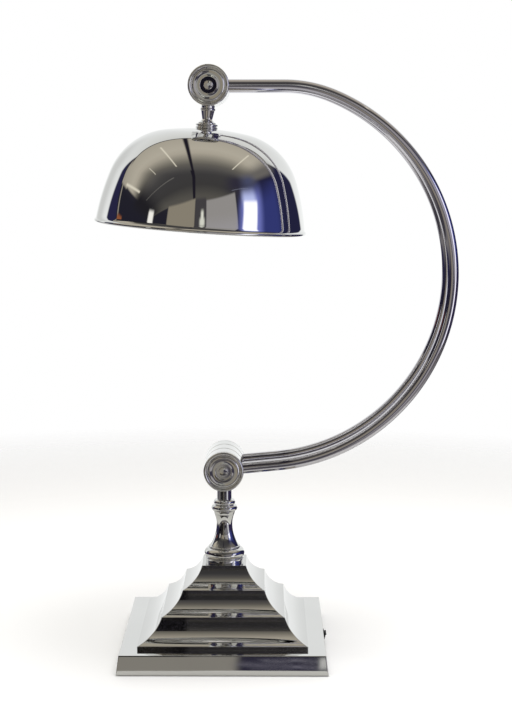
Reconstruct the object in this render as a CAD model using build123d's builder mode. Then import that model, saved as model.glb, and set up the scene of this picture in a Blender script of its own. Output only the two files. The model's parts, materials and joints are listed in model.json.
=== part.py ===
from build123d import *
from math import asin, atan2, cos, degrees, radians, sin
import os

# Adjustable table lamp: stepped square base, turned column, twin-tube bow arm and dome shade.
# Millimetres, +Z up. The origin is the middle of the base, on the table. The arm bows out to +X.
# Two knuckles have their pins along Y: the lower one tilts the arm, the upper one tilts the shade.

os.makedirs("parts", exist_ok=True)

# Clearances and cutting overrun
CUT = 1.0  # how far a cutting shape runs past the face it cuts
FIT = 0.05  # radial play of a pin, thread or spigot in its hole
GAP = 0.3  # gap round a dropped-in piece and between faces that slide past each other

# Base plate, a hollow pan with sloping sides
PLATE_SIDE = 228.0
PLATE_SLOPE = 2.8
PLATE_TOP_Z = 21.9
PAD_PROUD = 0.6
PLATE_WALL = 2.5
PLATE_EDGE_R = 0.8
BOSS_INSET = 14.0
BOSS_R = 5.0
PLATE_TOP_SIDE = PLATE_SIDE - 2 * PLATE_SLOPE
PLATE_HEIGHT = PLATE_TOP_Z - PAD_PROUD
PLATE_TAPER_ANGLE = degrees(atan2(PLATE_SLOPE, PLATE_HEIGHT))
PLATE_MID_Z = (PLATE_TOP_Z + PAD_PROUD) / 2
PLATE_MID_HALF = (PLATE_SIDE + PLATE_TOP_SIDE) / 4
PLATE_CEILING_Z = PLATE_TOP_Z - PLATE_WALL
BOSS_SPACING = PLATE_SIDE - 2 * BOSS_INSET

# Felt pad, bottom cover and its screws
PAD_T = 2.0
COVER_T = 1.5
COVER_TOP_Z = PAD_T + COVER_T
COVER_SIDE = PLATE_SIDE - 2 * PLATE_WALL - 4 * GAP
PAD_SIDE = COVER_SIDE
SCREW_R = 1.5
SCREW_HEAD_R = 2.9
SCREW_HEAD_H = 1.2
SCREW_DEPTH = 9.0
PAD_HOLE_R = 4.0

# Iron ballast on the bottom cover, with a well in the middle and two wiring channels
BALLAST_CLEAR = 2.0
BALLAST_H = 12.0
BALLAST_CORNER = 8.0
WELL_SIDE = 56.0
CHANNEL_W = 24.0
CHANNEL_FLOOR = 2.5
BALLAST_SIDE = BOSS_SPACING - 2 * BOSS_R - 2 * BALLAST_CLEAR

# Stepped pyramid: three coved stages above a plain band
PYRAMID_MARGIN = 18.7
PYRAMID_H = 75.6
PYRAMID_BAND_H = 3.9
PYRAMID_WALL = 2.0
STAGE_WIDTH_SHARES = (0.265, 0.489, 0.728, 1.0)
STAGE_HEIGHT_SHARES = (1.0, 0.685, 0.349, 0.0)
COVE_SAG_SHARE = 0.12
PYRAMID_SIDE = PLATE_TOP_SIDE - 2 * PYRAMID_MARGIN
PYRAMID_TOP_Z = PLATE_TOP_Z + PYRAMID_H

# Threaded rod that clamps base and column, with its washer and nut
ROD_R = 5.0
ROD_BORE_R = 3.5
ROD_TAIL = 8.0
WASHER_R = 11.0
WASHER_T = 1.5
NUT_R = 8.6
NUT_H = 5.0

# Column foot, turned
FOOT_R = 20.8
FOOT_DRUM_H = 3.4
FOOT_RING_R = 21.7
FOOT_RING_H = 1.8
FOOT_BEAD_R = 22.8
FOOT_BEAD_RISE = 4.6
FOOT_BEAD_H = 10.6
FOOT_NECK_R = 17.0
FOOT_TOP_R = 18.0
FOOT_TOP_H = 2.2
FOOT_H = FOOT_DRUM_H + FOOT_RING_H + FOOT_BEAD_H + FOOT_TOP_H

# Column waist, turned
WAIST_FOOT_R = 16.6
WAIST_R = 9.0
WAIST_Z = 140.0
WAIST_TOP_R = 11.3

# Column collar, turned, with the swivel socket
COLLAR_Z = 151.5
COLLAR_TOP_Z = 168.0
COLLAR_FLARE_R = 12.6
COLLAR_FLARE_H = 3.8
COLLAR_BEAD_R = 14.6
COLLAR_BEAD_H = 6.6
COLLAR_NECK_R = 11.2
COLLAR_NECK_H = 0.8
COLLAR_LIP_R = 12.2
COLLAR_RIM_R = 10.2
COLLAR_FLOOR_H = 2.2
SOCKET_R = 7.0
SWIVEL_WASHER_T = 0.8

# Swivel spindle under the turret, and the screw that keeps it in its socket
SPINDLE_R = SOCKET_R - FIT
GROOVE_DEPTH = 1.6
GROOVE_PLAY = 0.2
STOP_SCREW_R = 1.5
STOP_SCREW_Z = 159.2
SWIVEL_LIMIT_ANGLE = 150.0

# Knuckles, shared by the lower and the upper joint
KNUCKLE_R = 22.1
KNUCKLE_HALF = 37.6
HUB_HALF = 11.5
HUB_CAVITY_R = 16.0
HUB_BOSS_R = 6.5
HUB_WALL = 2.5
RING_T = 1.0
RING_R = 21.3
RING_BORE_R = 15.4
CHEEK_CAVITY_R = 19.1
CHEEK_WALL = 2.5
CAP_T = 4.6
KNUCKLE_EDGE = 0.5
PIN_R = 3.0
LEAD_SLOT_R = 11.0
LEAD_SLOT_W = 6.0
LEAD_SLOT_HALF_ANGLE = 60.0
LEAD_HOLE_R = 3.2
CHEEK_START = HUB_HALF + RING_T
CAP_START = KNUCKLE_HALF - CAP_T

# Turned cap on each end of a knuckle
CAP_SPIGOT_H = 1.2
CAP_SPIGOT_BORE_R = 16.5
CAP_BEAD_R = 18.9
CAP_BEAD_ROUND = 1.6
CAP_GROOVE_R = 16.9
CAP_GROOVE_DEPTH = 1.1
CAP_DISC_DROP = 0.3
CAP_RING_R = 11.6
CAP_RING_STEP = 0.5
CAP_RECESS_R = 8.6
CAP_RECESS_DEPTH = 2.4
BUTTON_R = 5.0
BUTTON_H = 2.1
BUTTON_EDGE_H = 1.2
SHOULDER_R = 4.4
BARREL_LENGTH = 8.0
BARREL_FLOOR = 1.2

# Lower knuckle and turret neck
LOWER_PIVOT_Z = 206.5
TURRET_NECK_R = 8.15

# Twin arm tubes: a straight run, a long bow, a tighter shoulder and a level run
TUBE_R = 6.35
TUBE_WALL = 1.2
TUBE_SPACING = 50.0
TUBE_RISE_ANGLE = 5.5
LOWER_RUN = 60.4
BOW_R = 210.0
BOW_END_ANGLE = 158.0
SHOULDER_BEND_R = 140.0
UPPER_RUN = 81.3
TUBE_INSET = 17.5
TUBE_BORE_R = TUBE_R - TUBE_WALL

# Insulating bushes in the ends of the rear tube, and the twin leads
CORE_R = 1.1
CORE_SPACING = 2.4
BUSH_BORE_R = CORE_SPACING / 2 + CORE_R + GAP
BUSH_FLANGE_T = 1.0
BUSH_LENGTH = 6.0
LEAD_TAIL = 4.0
LEAD_BEND_R = 4.6

# Shade stem, turned, measured down the shade's own axis from the upper pin
SHADE_TILT_ANGLE = 4.0
STEM_SEAT = 19.0
STEM_SPIGOT_H = 2.8
STEM_R = 7.45
STEM_BEAD_START = 23.2
STEM_BEAD_R = 8.3
STEM_BEAD_H = 3.2
STEM_WAIST_R = 5.6
STEM_WAIST_END = 35.6
STEM_FLARE_R = 9.9
STEM_FLARE_END = 39.6
STEM_RING_R = 12.2
STEM_RING_H = 2.4
STEM_RING_GAP = 0.6
STEM_GROOVE_R = 11.1
STEM_THREAD_TOP = 38.0
SHADE_SEAT = 46.0

# Dome shade, spun, as three arcs from the crown to the skirt and a rolled rim
SHADE_WALL = 1.0
SHADE_SEAT_R = 12.6
CROWN_R = 270.0
CROWN_END_ANGLE = 9.5
CHEST_R = 74.0
CHEST_END_ANGLE = 70.0
SKIRT_R = 250.0
SKIRT_END_ANGLE = 83.0
RIM_BEAD_R = 1.9

# Lamp holder and bulb, down the shade's axis
SHADE_NUT_R = 8.0
SHADE_NUT_H = 3.5
HOLDER_NECK_R = 7.5
HOLDER_NECK_H = 5.0
HOLDER_R = 19.5
HOLDER_CAP_H = 15.0
HOLDER_CAP_WALL = 1.0
HOLDER_BODY_H = 32.0
HOLDER_BORE_R = 14.7
HOLDER_FLOOR = 5.0
SHELL_R = 14.4
SHELL_WALL = 0.8
SHELL_H = 23.0
CONTACT_W = 6.0
CONTACT_T = 0.8
CONTACT_RISE = 3.0
BULB_BASE_R = 13.3
BULB_BASE_H = 21.0
BULB_TIP_R = 4.5
BULB_TIP_H = 3.0
BULB_NECK_R = 12.2
BULB_R = 22.5
BULB_NECK_H = 8.0
BULB_BASE_WALL = 1.0
GLASS_WALL = 1.0

# Rocker switch in the right side of the base
BEZEL_L = 13.2
BEZEL_W = 8.4
BEZEL_T = 0.8
SWITCH_L = 11.9
SWITCH_W = 7.2
SWITCH_DEPTH = 9.0
POCKET_L = 10.8
POCKET_W = 6.0
POCKET_DEPTH = 4.0
ROCKER_L = 9.2
ROCKER_W = 5.4
ROCKER_END_H = 3.4
ROCKER_MID_H = 2.5
ROCKER_KEEL_L = 3.6
ROCKER_KEEL_H = 2.0
ROCKER_PIVOT_DEPTH = 1.0
ROCKER_PIN_R = 0.8
ROCKER_PIN_REACH = 0.45
ROCKER_TILT_ANGLE = 9.0
BLADE_W = 4.0
BLADE_T = 0.8
BLADE_H = 5.0
BLADE_SPACING = 6.0

# Cord gland in the back of the base
GLAND_FLANGE_R = 8.0
GLAND_FLANGE_T = 1.4
GLAND_R = 5.6
GLAND_BORE_R = 3.2
GLAND_LENGTH = 10.0
GLAND_NUT_R = 7.2
GLAND_NUT_T = 4.0

# Terminal block in the base's well
BLOCK_X = 14.0
BLOCK_L = 12.0
BLOCK_W = 16.0
BLOCK_H = 7.6
BLOCK_SCREW_R = 1.4
BLOCK_SCREW_H = 0.8
BLOCK_SCREW_SPACING = 6.0

# Places worked out from the sizes above
BOW_TURN = BOW_END_ANGLE - TUBE_RISE_ANGLE
SHOULDER_TURN = 180 - BOW_END_ANGLE
ARM_REACH = (
    LOWER_RUN * cos(radians(TUBE_RISE_ANGLE))
    + BOW_R * (sin(radians(BOW_END_ANGLE)) - sin(radians(TUBE_RISE_ANGLE)))
    - SHOULDER_BEND_R * sin(radians(BOW_END_ANGLE))
    - UPPER_RUN
)
ARM_RISE = (
    LOWER_RUN * sin(radians(TUBE_RISE_ANGLE))
    + BOW_R * (cos(radians(TUBE_RISE_ANGLE)) - cos(radians(BOW_END_ANGLE)))
    + SHOULDER_BEND_R * (cos(radians(BOW_END_ANGLE)) + 1)
)
LOWER_PIVOT = (0, 0, LOWER_PIVOT_Z)
UPPER_PIVOT = (ARM_REACH, 0, LOWER_PIVOT_Z + ARM_RISE)
TILT_SIN = sin(radians(SHADE_TILT_ANGLE))
TILT_COS = cos(radians(SHADE_TILT_ANGLE))
SHADE_PLANE = Plane(origin=UPPER_PIVOT, x_dir=(TILT_COS, 0, -TILT_SIN), z_dir=(0, -1, 0))
SHADE_CROSS = Plane(origin=UPPER_PIVOT, x_dir=(TILT_COS, 0, -TILT_SIN), z_dir=(TILT_SIN, 0, TILT_COS))
SHADE_AXIS = Axis(UPPER_PIVOT, (TILT_SIN, 0, TILT_COS))
TAPER_SIN = sin(radians(PLATE_TAPER_ANGLE))
TAPER_COS = cos(radians(PLATE_TAPER_ANGLE))
RIGHT_SIDE = Plane(
    origin=(PLATE_MID_HALF, 0, PLATE_MID_Z), x_dir=(0, 1, 0), z_dir=(TAPER_COS, 0, TAPER_SIN)
)
BACK_SIDE = Plane(
    origin=(0, PLATE_MID_HALF, PLATE_MID_Z), x_dir=(-1, 0, 0), z_dir=(0, TAPER_COS, TAPER_SIN)
)
KNUCKLES = {
    "lower": (LOWER_PIVOT, TUBE_RISE_ANGLE),
    "upper": (UPPER_PIVOT, 0),
}
SIDES = {"front": -1, "rear": 1}


def knuckle_plane(pivot):
    """Plane through a knuckle's pin: local x runs along the pin, local y is the radius."""
    return Plane(origin=pivot, x_dir=(0, 1, 0), z_dir=(1, 0, 0))


def knuckle_axis(pivot):
    """The pin's own axis."""
    return Axis(pivot, (0, 1, 0))


def stage_outline(inset):
    """Right half of the stepped pyramid's outline, moved in and down by inset."""
    foot_z = PLATE_TOP_Z + PYRAMID_BAND_H
    rise = PYRAMID_H - PYRAMID_BAND_H
    corners = [
        (width * PYRAMID_SIDE / 2 - inset, foot_z + height * rise - inset)
        for width, height in zip(STAGE_WIDTH_SHARES, STAGE_HEIGHT_SHARES)
    ]
    for (x0, z0), (x1, z1) in zip(corners, corners[1:]):
        sag = (COVE_SAG_SHARE * (z0 - z1), COVE_SAG_SHARE * (x1 - x0))
        ThreePointArc((x0, z0), ((x0 + x1) / 2 - sag[0], (z0 + z1) / 2 - sag[1]), (x1, z1))
    top, foot = corners[0], corners[-1]
    Polyline(foot, (foot[0], PLATE_TOP_Z - inset), (0, PLATE_TOP_Z - inset), (0, top[1]), top)


def stepped_block(inset):
    """Solid stepped pyramid, as two crossed bars of the same outline."""
    with BuildPart() as block:
        with BuildSketch(Plane.XZ):
            with BuildLine():
                stage_outline(inset)
            make_face()
            mirror(about=Plane.YZ)
        extrude(amount=PYRAMID_SIDE / 2, both=True)
        with BuildSketch(Plane.YZ):
            with BuildLine():
                stage_outline(inset)
            make_face()
            mirror(about=Plane.YZ)
        extrude(amount=PYRAMID_SIDE / 2, both=True, mode=Mode.INTERSECT)
    return block.part


def arm_line(offset_y, inset):
    """Centre line of an arm tube, in its own upright plane, starting and ending at inset from the pins."""
    heading = radians(TUBE_RISE_ANGLE)
    start = (inset * cos(heading), LOWER_PIVOT_Z + inset * sin(heading))
    run_end = (LOWER_RUN * cos(heading), LOWER_PIVOT_Z + LOWER_RUN * sin(heading))
    with BuildLine(Plane.XZ.offset(-offset_y)) as path:
        run = Line(start, run_end)
        bow = JernArc(run @ 1, run % 1, BOW_R, BOW_TURN)
        bend = JernArc(bow @ 1, bow % 1, SHOULDER_BEND_R, SHOULDER_TURN)
        Line(bend @ 1, (ARM_REACH + inset, LOWER_PIVOT_Z + ARM_RISE))
    return path.line


def arc_point(centre, radius, angle):
    """Point of an arc whose angle is counted from the axis, outwards and down."""
    return (centre[0] + radius * sin(radians(angle)), centre[1] + radius * cos(radians(angle)))


def dome_spans():
    """Centre, radius and angles of the three arcs of the shade's outside, each tangent to the last."""
    seat_angle = degrees(asin(SHADE_SEAT_R / CROWN_R))
    crown = (0, -SHADE_SEAT - CROWN_R * cos(radians(seat_angle)))
    chest = arc_point(crown, CROWN_R - CHEST_R, CROWN_END_ANGLE)
    skirt = arc_point(chest, CHEST_R - SKIRT_R, CHEST_END_ANGLE)
    return (
        (crown, CROWN_R, seat_angle, CROWN_END_ANGLE),
        (chest, CHEST_R, CROWN_END_ANGLE, CHEST_END_ANGLE),
        (skirt, SKIRT_R, CHEST_END_ANGLE, SKIRT_END_ANGLE),
    )


def dome_curve(inset):
    """The three arcs of the shade's wall, moved inwards by inset."""
    for centre, radius, first, last in dome_spans():
        points = [arc_point(centre, radius - inset, angle) for angle in (first, (first + last) / 2, last)]
        ThreePointArc(*points)


# Base pan: sloping sides, rounded edges, open underneath, with four screw bosses
with BuildPart() as base_pan:
    with BuildSketch(Plane.XY.offset(PAD_PROUD)):
        Rectangle(PLATE_SIDE, PLATE_SIDE)
    extrude(amount=PLATE_HEIGHT, taper=PLATE_TAPER_ANGLE)
    edges_by_height = base_pan.edges().group_by(Axis.Z)
    fillet(edges_by_height[1] + edges_by_height[-1], PLATE_EDGE_R)
    with BuildSketch(Plane.XY.offset(PAD_PROUD)):
        Rectangle(PLATE_SIDE - 2 * PLATE_WALL, PLATE_SIDE - 2 * PLATE_WALL)
    extrude(amount=PLATE_CEILING_Z - PAD_PROUD, taper=PLATE_TAPER_ANGLE, mode=Mode.SUBTRACT)
    with BuildSketch(Plane.XY.offset(COVER_TOP_Z)):
        with GridLocations(BOSS_SPACING, BOSS_SPACING, 2, 2):
            Circle(BOSS_R)
    extrude(amount=PLATE_CEILING_Z - COVER_TOP_Z)
    with BuildSketch(Plane.XY.offset(COVER_TOP_Z)):
        with GridLocations(BOSS_SPACING, BOSS_SPACING, 2, 2):
            Circle(SCREW_R + FIT)
    extrude(amount=SCREW_DEPTH, mode=Mode.SUBTRACT)
    with BuildSketch(Plane.XY.offset(PLATE_CEILING_Z - CUT)):
        Circle(ROD_R + FIT)
    extrude(amount=PLATE_WALL + 2 * CUT, mode=Mode.SUBTRACT)
    with BuildSketch(RIGHT_SIDE.offset(CUT)):
        Rectangle(SWITCH_L + 2 * GAP, SWITCH_W + 2 * GAP)
    extrude(amount=-PLATE_WALL - 2 * CUT, mode=Mode.SUBTRACT)
    with BuildSketch(BACK_SIDE.offset(CUT)):
        Circle(GLAND_R + FIT)
    extrude(amount=-PLATE_WALL - 2 * CUT, mode=Mode.SUBTRACT)
base_pan.part.label = "base_pan"
export_step(base_pan.part, "parts/base_pan.step")

# Felt pad, with a hole under each cover screw
with BuildPart() as felt_pad:
    with BuildSketch(Plane.XY):
        Rectangle(PAD_SIDE, PAD_SIDE)
        with GridLocations(BOSS_SPACING, BOSS_SPACING, 2, 2):
            Circle(PAD_HOLE_R, mode=Mode.SUBTRACT)
    extrude(amount=PAD_T)
felt_pad.part.label = "felt_pad"
export_step(felt_pad.part, "parts/felt_pad.step")

# Sheet steel bottom cover
with BuildPart() as bottom_cover:
    with BuildSketch(Plane.XY.offset(PAD_T)):
        Rectangle(COVER_SIDE, COVER_SIDE)
        with GridLocations(BOSS_SPACING, BOSS_SPACING, 2, 2):
            Circle(SCREW_R + GAP, mode=Mode.SUBTRACT)
    extrude(amount=COVER_T)
bottom_cover.part.label = "bottom_cover"
export_step(bottom_cover.part, "parts/bottom_cover.step")

# Four cover screws with their heads in the felt's holes
with BuildPart() as cover_screws:
    with BuildSketch(Plane.XY.offset(PAD_T - SCREW_HEAD_H)):
        with GridLocations(BOSS_SPACING, BOSS_SPACING, 2, 2):
            Circle(SCREW_HEAD_R)
    extrude(amount=SCREW_HEAD_H)
    with BuildSketch(Plane.XY.offset(PAD_T)):
        with GridLocations(BOSS_SPACING, BOSS_SPACING, 2, 2):
            Circle(SCREW_R)
    extrude(amount=COVER_T + SCREW_DEPTH - CUT)
cover_screws.part.label = "cover_screws"
export_step(cover_screws.part, "parts/cover_screws.step")

# Iron ballast plate
with BuildPart() as ballast_plate:
    with BuildSketch(Plane.XY.offset(COVER_TOP_Z)):
        Rectangle(BALLAST_SIDE, BALLAST_SIDE)
        chamfer(vertices(), BALLAST_CORNER)
        Rectangle(WELL_SIDE, WELL_SIDE, mode=Mode.SUBTRACT)
    extrude(amount=BALLAST_H)
    with BuildSketch(Plane.XY.offset(COVER_TOP_Z + CHANNEL_FLOOR)):
        Rectangle(BALLAST_SIDE, CHANNEL_W, align=(Align.MIN, Align.CENTER))
        Rectangle(CHANNEL_W, BALLAST_SIDE, align=(Align.CENTER, Align.MIN))
    extrude(amount=BALLAST_H, mode=Mode.SUBTRACT)
ballast_plate.part.label = "ballast_plate"
export_step(ballast_plate.part, "parts/ballast_plate.step")

# Stepped pyramid: a thin shell, open underneath
pyramid_outside = stepped_block(0)
pyramid_inside = stepped_block(PYRAMID_WALL)
with BuildPart() as stepped_pyramid:
    add(pyramid_outside)
    add(pyramid_inside, mode=Mode.SUBTRACT)
    with BuildSketch(Plane.XY.offset(PYRAMID_TOP_Z - PYRAMID_WALL - CUT)):
        Circle(ROD_R + FIT)
    extrude(amount=PYRAMID_WALL + 2 * CUT, mode=Mode.SUBTRACT)
stepped_pyramid.part.label = "stepped_pyramid"
export_step(stepped_pyramid.part, "parts/stepped_pyramid.step")

# Column foot: drum, thin ring, large bead and a small top ring
with BuildPart() as column_foot:
    with BuildSketch(Plane.XZ):
        ring_z = PYRAMID_TOP_Z + FOOT_DRUM_H
        bead_z = ring_z + FOOT_RING_H
        neck_z = bead_z + FOOT_BEAD_H
        top_z = neck_z + FOOT_TOP_H
        with BuildLine():
            Polyline((ROD_R + FIT, PYRAMID_TOP_Z), (FOOT_R, PYRAMID_TOP_Z), (FOOT_R, ring_z))
            ThreePointArc((FOOT_R, ring_z), (FOOT_RING_R, (ring_z + bead_z) / 2), (FOOT_R, bead_z))
            ThreePointArc((FOOT_R, bead_z), (FOOT_BEAD_R, bead_z + FOOT_BEAD_RISE), (FOOT_NECK_R, neck_z))
            ThreePointArc((FOOT_NECK_R, neck_z), (FOOT_TOP_R, (neck_z + top_z) / 2), (FOOT_NECK_R, top_z))
            Polyline((FOOT_NECK_R, top_z), (ROD_R + FIT, top_z), (ROD_R + FIT, PYRAMID_TOP_Z))
        make_face()
    revolve(axis=Axis.Z)
column_foot.part.label = "column_foot"
export_step(column_foot.part, "parts/column_foot.step")

# Column waist: a slender turned spool
with BuildPart() as column_waist:
    with BuildSketch(Plane.XZ):
        waist_foot_z = PYRAMID_TOP_Z + FOOT_H
        with BuildLine():
            TangentArc((WAIST_R, WAIST_Z), (WAIST_FOOT_R, waist_foot_z), tangent=(0, -1))
            TangentArc((WAIST_R, WAIST_Z), (WAIST_TOP_R, COLLAR_Z), tangent=(0, 1))
            Polyline(
                (WAIST_TOP_R, COLLAR_Z),
                (ROD_R + FIT, COLLAR_Z),
                (ROD_R + FIT, waist_foot_z),
                (WAIST_FOOT_R, waist_foot_z),
            )
        make_face()
    revolve(axis=Axis.Z)
column_waist.part.label = "column_waist"
export_step(column_waist.part, "parts/column_waist.step")

# Column collar: flare, large bead, neck and lip, with the swivel socket inside
SOCKET_FLOOR_Z = COLLAR_Z + COLLAR_FLOOR_H
with BuildPart() as column_collar:
    with BuildSketch(Plane.XZ):
        bead_z = COLLAR_Z + COLLAR_FLARE_H
        neck_z = bead_z + COLLAR_BEAD_H
        lip_z = neck_z + COLLAR_NECK_H
        with BuildLine():
            Line((WAIST_TOP_R, COLLAR_Z), (COLLAR_FLARE_R, bead_z))
            ThreePointArc(
                (COLLAR_FLARE_R, bead_z),
                (COLLAR_BEAD_R, bead_z + COLLAR_BEAD_H / 2),
                (COLLAR_FLARE_R, neck_z),
            )
            Polyline((COLLAR_FLARE_R, neck_z), (COLLAR_NECK_R, neck_z), (COLLAR_NECK_R, lip_z))
            ThreePointArc(
                (COLLAR_NECK_R, lip_z),
                (COLLAR_LIP_R, (lip_z + COLLAR_TOP_Z) / 2),
                (COLLAR_RIM_R, COLLAR_TOP_Z),
            )
            Polyline(
                (COLLAR_RIM_R, COLLAR_TOP_Z),
                (SOCKET_R, COLLAR_TOP_Z),
                (SOCKET_R, SOCKET_FLOOR_Z),
                (ROD_R + FIT, SOCKET_FLOOR_Z),
                (ROD_R + FIT, COLLAR_Z),
                (WAIST_TOP_R, COLLAR_Z),
            )
        make_face()
    revolve(axis=Axis.Z)
    with BuildSketch(Plane.XZ.offset(-COLLAR_BEAD_R - CUT)):
        with Locations((0, STOP_SCREW_Z)):
            Circle(STOP_SCREW_R + FIT)
    extrude(amount=COLLAR_BEAD_R, mode=Mode.SUBTRACT)
column_collar.part.label = "column_collar"
export_step(column_collar.part, "parts/column_collar.step")

# Hollow threaded rod with its washer and nut under the base pan's ceiling
with BuildPart() as threaded_rod:
    with BuildSketch(Plane.XY.offset(PLATE_CEILING_Z - ROD_TAIL)):
        Circle(ROD_R)
        Circle(ROD_BORE_R, mode=Mode.SUBTRACT)
    extrude(amount=SOCKET_FLOOR_Z - PLATE_CEILING_Z + ROD_TAIL)
threaded_rod.part.label = "threaded_rod"
export_step(threaded_rod.part, "parts/threaded_rod.step")

with BuildPart() as rod_washer:
    with BuildSketch(Plane.XY.offset(PLATE_CEILING_Z - WASHER_T)):
        Circle(WASHER_R)
        Circle(ROD_R + FIT, mode=Mode.SUBTRACT)
    extrude(amount=WASHER_T)
rod_washer.part.label = "rod_washer"
export_step(rod_washer.part, "parts/rod_washer.step")

with BuildPart() as rod_nut:
    with BuildSketch(Plane.XY.offset(PLATE_CEILING_Z - WASHER_T - NUT_H)):
        RegularPolygon(NUT_R, 6)
        Circle(ROD_R + FIT, mode=Mode.SUBTRACT)
    extrude(amount=NUT_H)
rod_nut.part.label = "rod_nut"
export_step(rod_nut.part, "parts/rod_nut.step")

# Bronze washer on the socket's floor, under the swivel spindle
with BuildPart() as swivel_washer:
    with BuildSketch(Plane.XY.offset(SOCKET_FLOOR_Z)):
        Circle(SOCKET_R - GAP)
        Circle(ROD_BORE_R, mode=Mode.SUBTRACT)
    extrude(amount=SWIVEL_WASHER_T)
swivel_washer.part.label = "swivel_washer"
export_step(swivel_washer.part, "parts/swivel_washer.step")

# Stop screw from the back of the collar into the spindle's groove
GROOVE_R = SPINDLE_R - GROOVE_DEPTH
with BuildPart() as swivel_stop_screw:
    with BuildSketch(Plane.XZ.offset(-COLLAR_BEAD_R)):
        with Locations((0, STOP_SCREW_Z)):
            Circle(STOP_SCREW_R)
    extrude(amount=COLLAR_BEAD_R - GROOVE_R - GAP)
swivel_stop_screw.part.label = "swivel_stop_screw"
export_step(swivel_stop_screw.part, "parts/swivel_stop_screw.step")


def hub_outline():
    """Half section of a knuckle's middle drum, solid but for the pin's hole."""
    Polyline(
        (-HUB_HALF, PIN_R + FIT),
        (-HUB_HALF, KNUCKLE_R - KNUCKLE_EDGE),
        (-HUB_HALF + KNUCKLE_EDGE, KNUCKLE_R),
        (HUB_HALF - KNUCKLE_EDGE, KNUCKLE_R),
        (HUB_HALF, KNUCKLE_R - KNUCKLE_EDGE),
        (HUB_HALF, PIN_R + FIT),
        close=True,
    )


def lead_slot_plane(pivot):
    """Upright plane on the rear face of a hub, where the leads pass into the cheek."""
    return Plane(origin=(pivot[0], HUB_HALF, pivot[2]), x_dir=(1, 0, 0), z_dir=(0, -1, 0))


# Turret: the lower knuckle's drum on its neck and swivel spindle, bored for the leads
SPINDLE_Z = SOCKET_FLOOR_Z + SWIVEL_WASHER_T
LAND_HALF = (GROOVE_R + GAP) * sin(radians(180 - SWIVEL_LIMIT_ANGLE)) - STOP_SCREW_R - GAP
GROOVE_HALF_H = STOP_SCREW_R + GROOVE_PLAY
with BuildPart() as turret:
    with BuildSketch(knuckle_plane(LOWER_PIVOT)):
        with BuildLine():
            hub_outline()
        make_face()
    revolve(axis=knuckle_axis(LOWER_PIVOT))
    with BuildSketch(Plane.XY.offset(COLLAR_TOP_Z + GAP)):
        Circle(TURRET_NECK_R)
    extrude(amount=LOWER_PIVOT_Z - HUB_BOSS_R - COLLAR_TOP_Z - GAP)
    with BuildSketch(Plane.XY.offset(SPINDLE_Z)):
        Circle(SPINDLE_R)
    extrude(amount=COLLAR_TOP_Z + CUT - SPINDLE_Z)
    with BuildSketch(knuckle_plane(LOWER_PIVOT)):
        with BuildLine():
            ring_half = HUB_HALF - HUB_WALL
            Polyline(
                (-ring_half, HUB_BOSS_R), (-ring_half, HUB_CAVITY_R), (ring_half, HUB_CAVITY_R),
                (ring_half, HUB_BOSS_R), close=True,
            )
        make_face()
    revolve(axis=knuckle_axis(LOWER_PIVOT), mode=Mode.SUBTRACT)
    with BuildSketch(Plane.XY.offset(SPINDLE_Z - CUT)):
        Circle(ROD_BORE_R)
    extrude(amount=LOWER_PIVOT_Z - HUB_BOSS_R - SPINDLE_Z, mode=Mode.SUBTRACT)
    with BuildSketch(Plane.XY.offset(STOP_SCREW_Z - GROOVE_HALF_H)):
        Circle(SPINDLE_R + CUT)
        Circle(GROOVE_R, mode=Mode.SUBTRACT)
        Rectangle(2 * LAND_HALF, 2 * SPINDLE_R, align=(Align.CENTER, Align.MAX), mode=Mode.SUBTRACT)
    extrude(amount=2 * GROOVE_HALF_H, mode=Mode.SUBTRACT)
    with BuildSketch(lead_slot_plane(LOWER_PIVOT)):
        slot_arc = CenterArc((0, 0), LEAD_SLOT_R, -LEAD_SLOT_HALF_ANGLE, 2 * LEAD_SLOT_HALF_ANGLE)
        SlotArc(slot_arc, LEAD_SLOT_W)
    extrude(amount=HUB_WALL + CUT, both=True, mode=Mode.SUBTRACT)
turret.part.label = "turret"
export_step(turret.part, "parts/turret.step")

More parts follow.
